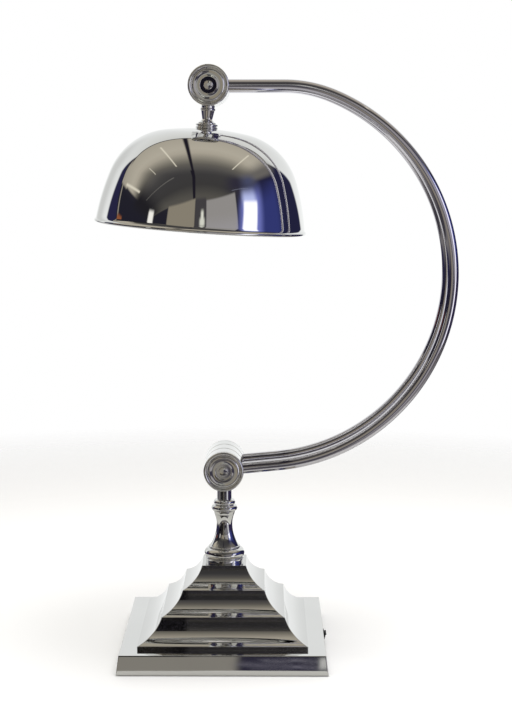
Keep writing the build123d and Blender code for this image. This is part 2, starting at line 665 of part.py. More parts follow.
# Knuckle cheeks, caps, pins, nuts and friction rings, the same at both ends of the arm
PIN_SEAT = KNUCKLE_HALF - CAP_RECESS_DEPTH
for level, (pivot, tube_angle) in KNUCKLES.items():
    tube_dir = (cos(radians(tube_angle)), 0, sin(radians(tube_angle)))
    for side, sign in SIDES.items():
        with BuildPart() as cheek:
            with BuildSketch(knuckle_plane(pivot)):
                with BuildLine():
                    Polyline(
                        (sign * CHEEK_START, PIN_R + FIT),
                        (sign * CHEEK_START, KNUCKLE_R - KNUCKLE_EDGE),
                        (sign * (CHEEK_START + KNUCKLE_EDGE), KNUCKLE_R),
                        (sign * (CAP_START - KNUCKLE_EDGE), KNUCKLE_R),
                        (sign * CAP_START, KNUCKLE_R - KNUCKLE_EDGE),
                        (sign * CAP_START, CHEEK_CAVITY_R),
                        (sign * (CHEEK_START + CHEEK_WALL), CHEEK_CAVITY_R),
                        (sign * (CHEEK_START + CHEEK_WALL), PIN_R + FIT),
                        close=True,
                    )
                make_face()
            revolve(axis=knuckle_axis(pivot))
            hole_plane = Plane(
                origin=(pivot[0], sign * TUBE_SPACING / 2, pivot[2]), x_dir=(0, 1, 0), z_dir=tube_dir
            )
            with BuildSketch(hole_plane.offset(TUBE_INSET - CUT)):
                Circle(TUBE_R + FIT)
            extrude(amount=KNUCKLE_R, mode=Mode.SUBTRACT)
            if side == "rear":
                with BuildSketch(lead_slot_plane(pivot).offset(-RING_T + CUT)):
                    with Locations((LEAD_SLOT_R, 0)):
                        Circle(LEAD_HOLE_R)
                extrude(amount=-CHEEK_WALL - 2 * CUT, mode=Mode.SUBTRACT)
        cheek.part.label = f"{level}_cheek_{side}"
        export_step(cheek.part, f"parts/{level}_cheek_{side}.step")

        with BuildPart() as cap:
            face_y = sign * KNUCKLE_HALF
            groove_y = sign * (KNUCKLE_HALF - CAP_GROOVE_DEPTH)
            disc_y = sign * (KNUCKLE_HALF - CAP_DISC_DROP)
            ring_y = sign * (KNUCKLE_HALF - CAP_DISC_DROP - CAP_RING_STEP)
            seat_y = sign * PIN_SEAT
            start_y = sign * CAP_START
            spigot_y = sign * (CAP_START - CAP_SPIGOT_H)
            with BuildSketch(knuckle_plane(pivot)):
                with BuildLine():
                    Polyline(
                        (groove_y, CAP_BEAD_R),
                        (groove_y, CAP_GROOVE_R),
                        (disc_y, CAP_GROOVE_R - CAP_DISC_DROP),
                        (disc_y, CAP_RING_R),
                        (ring_y, CAP_RING_R - CAP_RING_STEP),
                        (ring_y, CAP_RECESS_R + CAP_DISC_DROP),
                        (seat_y, CAP_RECESS_R),
                        (seat_y, SHOULDER_R + FIT),
                        (start_y, SHOULDER_R + FIT),
                        (start_y, CAP_SPIGOT_BORE_R),
                        (spigot_y, CAP_SPIGOT_BORE_R),
                        (spigot_y, CHEEK_CAVITY_R - FIT),
                        (start_y, CHEEK_CAVITY_R - FIT),
                        (start_y, KNUCKLE_R - KNUCKLE_EDGE),
                        (start_y + sign * KNUCKLE_EDGE, KNUCKLE_R),
                        (face_y - sign * CAP_BEAD_ROUND, KNUCKLE_R),
                    )
                    ThreePointArc(
                        (face_y - sign * CAP_BEAD_ROUND, KNUCKLE_R),
                        (face_y, (KNUCKLE_R + CAP_BEAD_R) / 2),
                        (groove_y, CAP_BEAD_R),
                    )
                make_face()
            revolve(axis=knuckle_axis(pivot))
        cap.part.label = f"{level}_cap_{side}"
        export_step(cap.part, f"parts/{level}_cap_{side}.step")

    with BuildPart() as pin:
        with BuildSketch(knuckle_plane(pivot)):
            with BuildLine():
                pin_end = PIN_SEAT - BARREL_FLOOR - GAP
                ThreePointArc(
                    (-PIN_SEAT - BUTTON_H, 0),
                    (-PIN_SEAT - (3 * BUTTON_H + BUTTON_EDGE_H) / 4, BUTTON_R / 2),
                    (-PIN_SEAT - BUTTON_EDGE_H, BUTTON_R),
                )
                Polyline(
                    (-PIN_SEAT - BUTTON_EDGE_H, BUTTON_R),
                    (-PIN_SEAT, BUTTON_R),
                    (-PIN_SEAT, SHOULDER_R),
                    (-CAP_START, SHOULDER_R),
                    (-CAP_START, PIN_R),
                    (pin_end, PIN_R),
                    (pin_end, 0),
                    (-PIN_SEAT - BUTTON_H, 0),
                )
            make_face()
        revolve(axis=knuckle_axis(pivot))
    pin.part.label = f"{level}_pin"
    export_step(pin.part, f"parts/{level}_pin.step")

    with BuildPart() as pin_nut:
        with BuildSketch(knuckle_plane(pivot)):
            with BuildLine():
                ThreePointArc(
                    (PIN_SEAT + BUTTON_H, 0),
                    (PIN_SEAT + (3 * BUTTON_H + BUTTON_EDGE_H) / 4, BUTTON_R / 2),
                    (PIN_SEAT + BUTTON_EDGE_H, BUTTON_R),
                )
                Polyline(
                    (PIN_SEAT + BUTTON_EDGE_H, BUTTON_R),
                    (PIN_SEAT, BUTTON_R),
                    (PIN_SEAT, SHOULDER_R),
                    (PIN_SEAT - BARREL_LENGTH, SHOULDER_R),
                    (PIN_SEAT - BARREL_LENGTH, PIN_R + FIT),
                    (PIN_SEAT - BARREL_FLOOR, PIN_R + FIT),
                    (PIN_SEAT - BARREL_FLOOR, 0),
                    (PIN_SEAT + BUTTON_H, 0),
                )
            make_face()
        revolve(axis=knuckle_axis(pivot))
    pin_nut.part.label = f"{level}_pin_nut"
    export_step(pin_nut.part, f"parts/{level}_pin_nut.step")

    with BuildPart() as friction_rings:
        for sign in SIDES.values():
            with BuildSketch(knuckle_plane(pivot)):
                with BuildLine():
                    Polyline(
                        (sign * HUB_HALF, RING_BORE_R),
                        (sign * HUB_HALF, RING_R),
                        (sign * CHEEK_START, RING_R),
                        (sign * CHEEK_START, RING_BORE_R),
                        close=True,
                    )
                make_face()
            revolve(axis=knuckle_axis(pivot))
    friction_rings.part.label = f"{level}_friction_rings"
    export_step(friction_rings.part, f"parts/{level}_friction_rings.step")

# Twin arm tubes, from one knuckle to the other
for side, sign in SIDES.items():
    with BuildPart() as arm_tube:
        centre_line = arm_line(sign * TUBE_SPACING / 2, TUBE_INSET)
        with BuildSketch(Plane(origin=centre_line @ 0, z_dir=centre_line % 0)):
            Circle(TUBE_R)
            Circle(TUBE_BORE_R, mode=Mode.SUBTRACT)
        sweep(path=centre_line)
    arm_tube.part.label = f"arm_tube_{side}"
    export_step(arm_tube.part, f"parts/arm_tube_{side}.step")

# Insulating bushes in both ends of the rear tube
with BuildPart() as tube_bushes:
    for pivot, tube_angle in KNUCKLES.values():
        tube_dir = (cos(radians(tube_angle)), 0, sin(radians(tube_angle)))
        bush_plane = Plane(origin=(pivot[0], TUBE_SPACING / 2, pivot[2]), x_dir=(0, 1, 0), z_dir=tube_dir)
        with BuildSketch(bush_plane.offset(TUBE_INSET - BUSH_FLANGE_T)):
            Circle(TUBE_R)
            Circle(BUSH_BORE_R, mode=Mode.SUBTRACT)
        extrude(amount=BUSH_FLANGE_T)
        with BuildSketch(bush_plane.offset(TUBE_INSET)):
            Circle(TUBE_BORE_R - FIT)
            Circle(BUSH_BORE_R, mode=Mode.SUBTRACT)
        extrude(amount=BUSH_LENGTH)
tube_bushes.part.label = "tube_bushes"
export_step(tube_bushes.part, "parts/tube_bushes.step")

# Twin leads inside the rear tube
with BuildPart() as arm_lead:
    for sign in SIDES.values():
        core_line = arm_line((TUBE_SPACING + sign * CORE_SPACING) / 2, TUBE_INSET - LEAD_TAIL)
        with BuildSketch(Plane(origin=core_line @ 0, z_dir=core_line % 0)):
            Circle(CORE_R)
        sweep(path=core_line)
arm_lead.part.label = "arm_lead"
export_step(arm_lead.part, "parts/arm_lead.step")

# Twin leads from the terminal block up the rod's bore, through the swivel, into the turret
with BuildPart() as column_lead:
    for sign in SIDES.values():
        with BuildLine(Plane.XZ.offset(-sign * CORE_SPACING / 2)) as core_line:
            drop = Line((0, LOWER_PIVOT_Z - HUB_CAVITY_R + LEAD_TAIL), (0, PLATE_CEILING_Z - ROD_TAIL))
            bend = JernArc(drop @ 1, drop % 1, LEAD_BEND_R, 90)
            Line(bend @ 1, (BLOCK_X, PLATE_CEILING_Z - ROD_TAIL - LEAD_BEND_R))
        with BuildSketch(Plane(origin=core_line.line @ 0, z_dir=core_line.line % 0)):
            Circle(CORE_R)
        sweep(path=core_line.line)
column_lead.part.label = "column_lead"
export_step(column_lead.part, "parts/column_lead.step")

# Upper hub: the drum that the shade hangs from, with a seat for the stem
with BuildPart() as upper_hub:
    with BuildSketch(knuckle_plane(UPPER_PIVOT)):
        with BuildLine():
            hub_outline()
        make_face()
    revolve(axis=knuckle_axis(UPPER_PIVOT))
    with BuildSketch(knuckle_plane(UPPER_PIVOT)):
        with BuildLine():
            Polyline(
                (-ring_half, HUB_BOSS_R), (-ring_half, HUB_CAVITY_R), (ring_half, HUB_CAVITY_R),
                (ring_half, HUB_BOSS_R), close=True,
            )
        make_face()
    revolve(axis=knuckle_axis(UPPER_PIVOT), mode=Mode.SUBTRACT)
    with BuildSketch(SHADE_CROSS.offset(-STEM_SEAT)):
        Circle(STEM_R + FIT)
    extrude(amount=-STEM_SEAT, mode=Mode.SUBTRACT)
    with BuildSketch(SHADE_CROSS.offset(-STEM_SEAT - CUT)):
        Circle(ROD_R + FIT)
    extrude(amount=STEM_SEAT - HUB_CAVITY_R + 2 * CUT, mode=Mode.SUBTRACT)
    with BuildSketch(lead_slot_plane(UPPER_PIVOT)):
        slot_arc = CenterArc((0, 0), LEAD_SLOT_R, -LEAD_SLOT_HALF_ANGLE, 2 * LEAD_SLOT_HALF_ANGLE)
        SlotArc(slot_arc, LEAD_SLOT_W)
    extrude(amount=HUB_WALL + CUT, both=True, mode=Mode.SUBTRACT)
upper_hub.part.label = "upper_hub"
export_step(upper_hub.part, "parts/upper_hub.step")

# Shade stem: spigot, bead, tapered waist, flare and double ring
with BuildPart() as shade_stem:
    with BuildSketch(SHADE_PLANE):
        bead_end = STEM_BEAD_START + STEM_BEAD_H
        ring_2 = SHADE_SEAT - STEM_RING_H
        ring_1 = ring_2 - STEM_RING_GAP - STEM_RING_H
        flare_r = (STEM_WAIST_R + STEM_FLARE_R) / 2 - STEM_RING_GAP
        flare_bow = (flare_r, -(STEM_WAIST_END + STEM_FLARE_END) / 2)
        with BuildLine():
            Polyline(
                (ROD_BORE_R, -STEM_SEAT + STEM_SPIGOT_H),
                (ROD_R, -STEM_SEAT + STEM_SPIGOT_H),
                (ROD_R, -STEM_SEAT),
                (STEM_R, -STEM_SEAT),
                (STEM_R, -STEM_BEAD_START),
            )
            ThreePointArc(
                (STEM_R, -STEM_BEAD_START),
                (STEM_BEAD_R, -(STEM_BEAD_START + bead_end) / 2),
                (STEM_R, -bead_end),
            )
            Line((STEM_R, -bead_end), (STEM_WAIST_R, -STEM_WAIST_END))
            ThreePointArc((STEM_WAIST_R, -STEM_WAIST_END), flare_bow, (STEM_FLARE_R, -STEM_FLARE_END))
            Polyline((STEM_FLARE_R, -STEM_FLARE_END), (STEM_FLARE_R, -ring_1), (STEM_GROOVE_R, -ring_1))
            for ring_top in (ring_1, ring_2):
                ThreePointArc(
                    (STEM_GROOVE_R, -ring_top),
                    (STEM_RING_R, -ring_top - STEM_RING_H / 2),
                    (STEM_GROOVE_R, -ring_top - STEM_RING_H),
                )
            Line((STEM_GROOVE_R, -ring_1 - STEM_RING_H), (STEM_GROOVE_R, -ring_2))
            Polyline(
                (STEM_GROOVE_R, -SHADE_SEAT),
                (ROD_R + FIT, -SHADE_SEAT),
                (ROD_R + FIT, -STEM_THREAD_TOP),
                (ROD_BORE_R, -STEM_THREAD_TOP),
                (ROD_BORE_R, -STEM_SEAT + STEM_SPIGOT_H),
            )
        make_face()
    revolve(axis=SHADE_AXIS)
shade_stem.part.label = "shade_stem"
export_step(shade_stem.part, "parts/shade_stem.step")

# Dome shade: thin spun wall with a rolled rim, open underneath
with BuildPart() as shade_dome:
    with BuildSketch(SHADE_PLANE):
        skirt_centre, skirt_r, skirt_start, skirt_end = dome_spans()[-1]
        outer_end = arc_point(skirt_centre, skirt_r, skirt_end)
        inner_end = arc_point(skirt_centre, skirt_r - SHADE_WALL, skirt_end)
        crown_centre, crown_r, crown_start, crown_end = dome_spans()[0]
        outer_start = arc_point(crown_centre, crown_r, crown_start)
        inner_start = arc_point(crown_centre, crown_r - SHADE_WALL, crown_start)
        with BuildLine():
            Polyline(
                outer_start, (ROD_R + FIT, outer_start[1]), (ROD_R + FIT, inner_start[1]), inner_start
            )
            dome_curve(0)
            dome_curve(SHADE_WALL)
            Line(outer_end, inner_end)
        make_face()
        with Locations(((outer_end[0] + inner_end[0]) / 2, outer_end[1])):
            Circle(RIM_BEAD_R)
    revolve(axis=SHADE_AXIS)
shade_dome.part.label = "shade_dome"
export_step(shade_dome.part, "parts/shade_dome.step")

# Threaded nipple through the shade, its hexagon nut, and the lamp holder below
NUT_TOP = SHADE_SEAT + SHADE_WALL
CAP_TOP = NUT_TOP + SHADE_NUT_H
BODY_TOP = CAP_TOP + HOLDER_CAP_H
BODY_FLOOR = BODY_TOP + HOLDER_FLOOR
with BuildPart() as shade_nipple:
    with BuildSketch(SHADE_CROSS.offset(-STEM_THREAD_TOP - GAP)):
        Circle(ROD_R)
        Circle(ROD_BORE_R, mode=Mode.SUBTRACT)
    extrude(amount=-(CAP_TOP + HOLDER_NECK_H - STEM_THREAD_TOP - GAP))
shade_nipple.part.label = "shade_nipple"
export_step(shade_nipple.part, "parts/shade_nipple.step")

with BuildPart() as shade_nut:
    with BuildSketch(SHADE_CROSS.offset(-NUT_TOP)):
        RegularPolygon(SHADE_NUT_R, 6)
        Circle(ROD_R + FIT, mode=Mode.SUBTRACT)
    extrude(amount=-SHADE_NUT_H)
shade_nut.part.label = "shade_nut"
export_step(shade_nut.part, "parts/shade_nut.step")

# Brass cap of the lamp holder
with BuildPart() as holder_cap:
    with BuildSketch(SHADE_PLANE):
        neck_s = CAP_TOP + HOLDER_NECK_H - HOLDER_CAP_WALL
        skirt_s = CAP_TOP + (HOLDER_CAP_H + HOLDER_NECK_H) / 2
        bow = (HOLDER_R - HOLDER_NECK_R) / 4
        inner_r = HOLDER_R - HOLDER_CAP_WALL
        with BuildLine():
            Polyline(
                (HOLDER_NECK_R, -neck_s), (HOLDER_NECK_R, -CAP_TOP), (ROD_R + FIT, -CAP_TOP),
                (ROD_R + FIT, -neck_s - HOLDER_CAP_WALL), (HOLDER_NECK_R, -neck_s - HOLDER_CAP_WALL),
            )
            ThreePointArc(
                (HOLDER_NECK_R, -neck_s),
                ((HOLDER_NECK_R + HOLDER_R + bow) / 2, -(neck_s + skirt_s - bow) / 2),
                (HOLDER_R, -skirt_s),
            )
            ThreePointArc(
                (HOLDER_NECK_R, -neck_s - HOLDER_CAP_WALL),
                ((HOLDER_NECK_R + inner_r + bow) / 2, -(neck_s + HOLDER_CAP_WALL + skirt_s - bow) / 2),
                (inner_r, -skirt_s),
            )
            Polyline((HOLDER_R, -skirt_s), (HOLDER_R, -BODY_TOP), (inner_r, -BODY_TOP), (inner_r, -skirt_s))
        make_face()
    revolve(axis=SHADE_AXIS)
holder_cap.part.label = "holder_cap"
export_step(holder_cap.part, "parts/holder_cap.step")

# Porcelain body of the lamp holder, a deep cup open downwards
with BuildPart() as holder_body:
    with BuildSketch(SHADE_CROSS.offset(-BODY_TOP)):
        Circle(HOLDER_R)
    extrude(amount=-HOLDER_BODY_H)
    with BuildSketch(SHADE_CROSS.offset(-BODY_FLOOR)):
        Circle(HOLDER_BORE_R)
    extrude(amount=-HOLDER_BODY_H, mode=Mode.SUBTRACT)
holder_body.part.label = "holder_body"
export_step(holder_body.part, "parts/holder_body.step")

# Screw shell and centre contact inside the holder
with BuildPart() as holder_shell:
    with BuildSketch(SHADE_CROSS.offset(-BODY_FLOOR)):
        Circle(SHELL_R)
        Circle(SHELL_R - SHELL_WALL, mode=Mode.SUBTRACT)
    extrude(amount=-SHELL_H)
holder_shell.part.label = "holder_shell"
export_step(holder_shell.part, "parts/holder_shell.step")

with BuildPart() as centre_contact:
    with BuildSketch(SHADE_CROSS.offset(-BODY_FLOOR)):
        Rectangle(2 * CONTACT_W, CONTACT_W)
    extrude(amount=-CONTACT_T)
    with BuildSketch(SHADE_CROSS.offset(-BODY_FLOOR)):
        Rectangle(CONTACT_W, CONTACT_W)
    extrude(amount=-CONTACT_RISE)
centre_contact.part.label = "centre_contact"
export_step(centre_contact.part, "parts/centre_contact.step")

# Bulb: screw cap with its tip, and a round glass globe
TIP_TOP = BODY_FLOOR + CONTACT_RISE
BASE_TOP = TIP_TOP + BULB_TIP_H
BASE_END = BASE_TOP + BULB_BASE_H
with BuildPart() as bulb_base:
    with BuildSketch(SHADE_PLANE):
        with BuildLine():
            Polyline(
                (0, -TIP_TOP),
                (BULB_TIP_R, -TIP_TOP),
                (BULB_BASE_R - BULB_TIP_H, -BASE_TOP),
                (BULB_BASE_R, -BASE_TOP - BULB_BASE_WALL),
                (BULB_BASE_R, -BASE_END),
                (BULB_NECK_R + FIT, -BASE_END),
                (BULB_NECK_R + FIT, -BASE_TOP - 2 * BULB_BASE_WALL),
                (0, -BASE_TOP - 2 * BULB_BASE_WALL),
                close=True,
            )
        make_face()
    revolve(axis=SHADE_AXIS)
bulb_base.part.label = "bulb_base"
export_step(bulb_base.part, "parts/bulb_base.step")

with BuildPart() as bulb_globe:
    with BuildSketch(SHADE_PLANE):
        outer_reach = (BULB_R**2 - BULB_NECK_R**2) ** 0.5
        inner_reach = ((BULB_R - GLASS_WALL) ** 2 - (BULB_NECK_R - GLASS_WALL) ** 2) ** 0.5
        globe_s = BASE_END + outer_reach + BULB_NECK_H / 2
        neck_s = BASE_END - BULB_NECK_H
        with BuildLine():
            Polyline(
                (BULB_NECK_R, -globe_s + outer_reach),
                (BULB_NECK_R, -neck_s),
                (BULB_NECK_R - GLASS_WALL, -neck_s),
                (BULB_NECK_R - GLASS_WALL, -globe_s + inner_reach),
            )
            ThreePointArc((BULB_NECK_R, -globe_s + outer_reach), (BULB_R, -globe_s), (0, -globe_s - BULB_R))
            ThreePointArc(
                (BULB_NECK_R - GLASS_WALL, -globe_s + inner_reach),
                (BULB_R - GLASS_WALL, -globe_s),
                (0, -globe_s - BULB_R + GLASS_WALL),
            )
            Line((0, -globe_s - BULB_R), (0, -globe_s - BULB_R + GLASS_WALL))
        make_face()
    revolve(axis=SHADE_AXIS)
bulb_globe.part.label = "bulb_globe"
export_step(bulb_globe.part, "parts/bulb_globe.step")

# Twin leads from the upper hub down the stem to the lamp holder
with BuildPart() as shade_lead:
    with BuildSketch(SHADE_CROSS.offset(-HUB_CAVITY_R + LEAD_TAIL)):
        for sign in SIDES.values():
            with Locations((0, sign * CORE_SPACING / 2)):
                Circle(CORE_R)
    extrude(amount=-(BODY_TOP - HUB_CAVITY_R + LEAD_TAIL))
shade_lead.part.label = "shade_lead"
export_step(shade_lead.part, "parts/shade_lead.step")


def point_off_side(depth):
    """Point on the switch's centre line, this far inside the base's right face."""
    origin = RIGHT_SIDE.origin
    normal = RIGHT_SIDE.z_dir
    return (origin.X - depth * normal.X, 0, origin.Z - depth * normal.Z)


# Rocker switch: bezel and body, pocket and pin holes
SWITCH_PIN_PLANE = Plane(
    origin=point_off_side(ROCKER_PIVOT_DEPTH), x_dir=(0, 1, 0), z_dir=(-TAPER_SIN, 0, TAPER_COS)
)
with BuildPart() as switch_housing:
    with BuildSketch(RIGHT_SIDE):
        Rectangle(BEZEL_L, BEZEL_W)
    extrude(amount=BEZEL_T)
    with BuildSketch(RIGHT_SIDE):
        Rectangle(SWITCH_L, SWITCH_W)
    extrude(amount=-SWITCH_DEPTH)
    with BuildSketch(RIGHT_SIDE.offset(BEZEL_T + CUT)):
        Rectangle(POCKET_L, POCKET_W)
    extrude(amount=-BEZEL_T - CUT - POCKET_DEPTH, mode=Mode.SUBTRACT)
    with BuildSketch(SWITCH_PIN_PLANE):
        Circle(ROCKER_PIN_R + FIT)
    extrude(amount=POCKET_W / 2 + ROCKER_PIN_REACH + FIT, both=True, mode=Mode.SUBTRACT)
switch_housing.part.label = "switch_housing"
export_step(switch_housing.part, "parts/switch_housing.step")

# Rocker, resting with its rear end raised, on two short trunnions
tilt_sin = sin(radians(ROCKER_TILT_ANGLE))
tilt_cos = cos(radians(ROCKER_TILT_ANGLE))
ROCKER_PLANE = Plane(
    origin=point_off_side(ROCKER_PIVOT_DEPTH),
    x_dir=(TAPER_COS * tilt_sin, tilt_cos, TAPER_SIN * tilt_sin),
    z_dir=(TAPER_SIN, 0, -TAPER_COS),
)
with BuildPart() as switch_rocker:
    with BuildSketch(ROCKER_PLANE):
        with BuildLine():
            Polyline(
                (-ROCKER_L / 2, ROCKER_END_H),
                (0, ROCKER_MID_H),
                (ROCKER_L / 2, ROCKER_END_H),
                (ROCKER_L / 2, 0),
                (ROCKER_KEEL_L / 2, -ROCKER_KEEL_H),
                (-ROCKER_KEEL_L / 2, -ROCKER_KEEL_H),
                (-ROCKER_L / 2, 0),
                close=True,
            )
        make_face()
    extrude(amount=ROCKER_W / 2, both=True)
    with BuildSketch(SWITCH_PIN_PLANE):
        Circle(ROCKER_PIN_R)
    extrude(amount=POCKET_W / 2 + ROCKER_PIN_REACH, both=True)
switch_rocker.part.label = "switch_rocker"
export_step(switch_rocker.part, "parts/switch_rocker.step")

# Brass blades on the back of the switch, and the leads to them
with BuildPart() as switch_blades:
    with BuildSketch(RIGHT_SIDE.offset(-SWITCH_DEPTH)):
        for sign in SIDES.values():
            with Locations((sign * BLADE_SPACING / 2, 0)):
                Rectangle(BLADE_T, BLADE_W)
    extrude(amount=-BLADE_H)
switch_blades.part.label = "switch_blades"
export_step(switch_blades.part, "parts/switch_blades.step")

with BuildPart() as switch_leads:
    blade_end = point_off_side(SWITCH_DEPTH + BLADE_H)
    with BuildSketch(Plane.YZ.offset(BLOCK_X + BLOCK_L)):
        for sign in SIDES.values():
            with Locations((sign * BLADE_SPACING / 2, blade_end[2])):
                Circle(CORE_R)
    extrude(amount=blade_end[0] - GAP - BLOCK_X - BLOCK_L)
switch_leads.part.label = "switch_leads"
export_step(switch_leads.part, "parts/switch_leads.step")

# Cord gland in the back of the base, bored for the cord, with its nut inside
with BuildPart() as cord_gland:
    with BuildSketch(BACK_SIDE):
        Circle(GLAND_FLANGE_R)
    extrude(amount=GLAND_FLANGE_T)
    with BuildSketch(BACK_SIDE):
        Circle(GLAND_R)
    extrude(amount=-GLAND_LENGTH)
    with BuildSketch(BACK_SIDE.offset(GLAND_FLANGE_T + CUT)):
        Circle(GLAND_BORE_R)
    extrude(amount=-GLAND_FLANGE_T - GLAND_LENGTH - 2 * CUT, mode=Mode.SUBTRACT)
cord_gland.part.label = "cord_gland"
export_step(cord_gland.part, "parts/cord_gland.step")

with BuildPart() as gland_nut:
    with BuildSketch(BACK_SIDE.offset(-PLATE_WALL)):
        RegularPolygon(GLAND_NUT_R, 6)
        Circle(GLAND_R + FIT, mode=Mode.SUBTRACT)
    extrude(amount=-GLAND_NUT_T)
gland_nut.part.label = "gland_nut"
export_step(gland_nut.part, "parts/gland_nut.step")

# Terminal block beside the rod's nut, with its clamp screws
with BuildPart() as terminal_block:
    with BuildSketch(Plane.XY.offset(COVER_TOP_Z)):
        with Locations((BLOCK_X, 0)):
            Rectangle(BLOCK_L, BLOCK_W, align=(Align.MIN, Align.CENTER))
    extrude(amount=BLOCK_H)
terminal_block.part.label = "terminal_block"
export_step(terminal_block.part, "parts/terminal_block.step")

with BuildPart() as terminal_screws:
    with BuildSketch(Plane.XY.offset(COVER_TOP_Z + BLOCK_H)):
        with Locations((BLOCK_X + BLOCK_L / 2, 0)):
            with GridLocations(BLOCK_SCREW_SPACING, BLOCK_SCREW_SPACING, 2, 2):
                Circle(BLOCK_SCREW_R)
    extrude(amount=BLOCK_SCREW_H)
terminal_screws.part.label = "terminal_screws"
export_step(terminal_screws.part, "parts/terminal_screws.step")
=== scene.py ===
import json
import math

import bmesh
import bpy
from bpy.props import FloatProperty, FloatVectorProperty, IntProperty, PointerProperty
from mathutils import Matrix, Vector


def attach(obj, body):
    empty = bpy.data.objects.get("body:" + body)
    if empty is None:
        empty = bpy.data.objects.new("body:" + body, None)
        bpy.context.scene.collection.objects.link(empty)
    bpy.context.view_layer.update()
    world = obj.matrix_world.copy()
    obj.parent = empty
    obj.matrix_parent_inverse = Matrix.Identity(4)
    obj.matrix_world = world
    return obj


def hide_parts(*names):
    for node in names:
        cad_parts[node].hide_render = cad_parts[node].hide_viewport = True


bl_info = {
    "name": "Adjustable Table Lamp",
    "version": (1, 0, 0),
    "blender": (4, 5, 0),
    "location": "3D View > Sidebar > Table Lamp",
    "description": "Dresses the packed table lamp with its finished pieces, materials and studio",
    "category": "Object",
}

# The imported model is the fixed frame. Outlines below are in millimetres and become metres in the meshes.
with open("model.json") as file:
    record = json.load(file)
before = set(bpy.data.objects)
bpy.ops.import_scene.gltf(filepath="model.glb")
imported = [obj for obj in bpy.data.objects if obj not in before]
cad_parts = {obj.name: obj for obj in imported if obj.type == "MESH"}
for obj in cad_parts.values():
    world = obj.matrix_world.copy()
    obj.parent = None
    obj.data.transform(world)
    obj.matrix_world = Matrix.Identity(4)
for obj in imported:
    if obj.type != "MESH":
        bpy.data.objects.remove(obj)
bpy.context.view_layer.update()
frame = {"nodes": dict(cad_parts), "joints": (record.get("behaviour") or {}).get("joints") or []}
JOINTS = {joint["name"]: joint for joint in frame["joints"]}
MM = 0.001
ORIGIN = Vector((0, 0, 0))
UP = Vector((0, 0, 1))
ACROSS = Vector((0, 1, 0))
LOWER_PIN = Vector(JOINTS["arm_tilt"]["pos_m"]) / MM
UPPER_PIN = Vector(JOINTS["shade_tilt"]["pos_m"]) / MM
ROCKER_PIN = Vector(JOINTS["switch_rock"]["pos_m"]) / MM
ROCKER_AXIS = Vector(JOINTS["switch_rock"]["axis"])
KNUCKLES = {"lower": LOWER_PIN, "upper": UPPER_PIN}
SIDES = {"front": -1, "rear": 1}
SHADE_TILT = math.radians(4.0)
SMOOTH_ANGLE = math.radians(32.0)
LEAST_TURN = math.radians(18.0)
NOTHING = 1e-6
SHADE_DOWN = Vector((-math.sin(SHADE_TILT), 0, -math.cos(SHADE_TILT)))

# Outline of the three coved stages: shares of the full width and of the height above the plain band
STAGE_WIDTHS = (0.265, 0.489, 0.728, 1.0)
STAGE_HEIGHTS = (1.0, 0.685, 0.349, 0.0)
COVE_SAG = 0.12
PYRAMID_SIDE, BAND_FOOT, BAND_TOP, PYRAMID_RISE = 185.0, 21.9, 25.8, 71.7
PYRAMID_WALL = 2.0

# Turned pieces: the bore for the rod, and the knuckle drums with the rings between them
BORE_R = 5.05
DRUM_R, DRUM_BORE_R, DRUM_EDGE = 22.1, 3.05, 0.5
MIDDLE_HALF, CHEEK_START, CHEEK_END = 11.5, 12.5, 33.0
CHEEK_CAVITY = (19.1, 2.5)
RING_IN_R, RING_OUT_R, RING_EDGE = 15.4, 21.3, 0.15
# Where the upper caps' groove floor gets a dark material as painted shade
SHADED_GROOVE_REACH, SHADED_GROOVE_HEIGHT = (5.0, 8.8), (33.5, 34.6)

# Arm tubes: centre line from the lower pin's seat over the long bow and the shoulder to the upper seat
TUBE_RISE, TUBE_SHOULDER = math.radians(5.5), math.radians(158.0)
TUBE_INSET, TUBE_RUN, BOW_R, SHOULDER_R = 17.5, 60.4, 210.0, 140.0
BOW_STEPS, SHOULDER_STEPS, TUBE_SIDES = 140, 22, 72

# Shade: centre line radii and end angles of the crown, the chest and the skirt
DOME_ARCS = ((270.0, 9.5), (74.0, 70.0), (250.0, 83.0))
DOME_STEPS = (14, 44, 20)
DOME_SEAT, DOME_SEAT_R, DOME_WALL = 46.0, 12.6, 1.0
RIM_R, RIM_START, RIM_SWEEP, RIM_STEPS = 1.9, math.radians(62), math.radians(304), 28

# Lamp holder: ribs round the porcelain body
RIB_COUNT, RIB_FIRST, RIB_PITCH = 5, 69.0, 4.4

# Base fittings: middles of the sloping sides, their slope, the switch and the cover screws
SIDE_HALF, SIDE_Z = 112.6, 11.25
SLOPE = math.atan2(2.8, 21.3)
KEY_TILT = math.radians(9.0)
KEY_HALF, KEY_EDGE, KEY_PIN_R, KEY_PIN_HALF = 2.7, 0.32, 0.8, 3.45
SCREW_REACH, SCREW_SEAT = 100.0, 2.0
RECESS_ARM, RECESS_HALF, RECESS_DEPTH, SCREW_TOP = 1.5, 0.32, 0.7, -1.2


class LampSizes(bpy.types.PropertyGroup):
    """Sizes that a maker of this lamp would change"""

    edge: FloatProperty(
        name="Edge Softness", description="Radius of the polished edges",
        default=0.0003, min=0.00005, max=0.001, unit="LENGTH", precision=5,
    )
    corner: FloatProperty(
        name="Base Corner", description="Radius of the upright corners of the base",
        default=0.0006, min=0.0001, max=0.004, unit="LENGTH", precision=5,
    )
    tube_radius: FloatProperty(
        name="Tube Radius", description="Outside radius of each arm tube",
        default=0.00635, min=0.003, max=0.01, unit="LENGTH", precision=5,
    )
    tube_pitch: FloatProperty(
        name="Tube Pitch", description="Distance between the centres of the two arm tubes",
        default=0.050, min=0.03, max=0.06, unit="LENGTH", precision=4,
    )
    segments: IntProperty(
        name="Segments", description="Faces round each turned piece", default=128, min=24, max=256,
    )


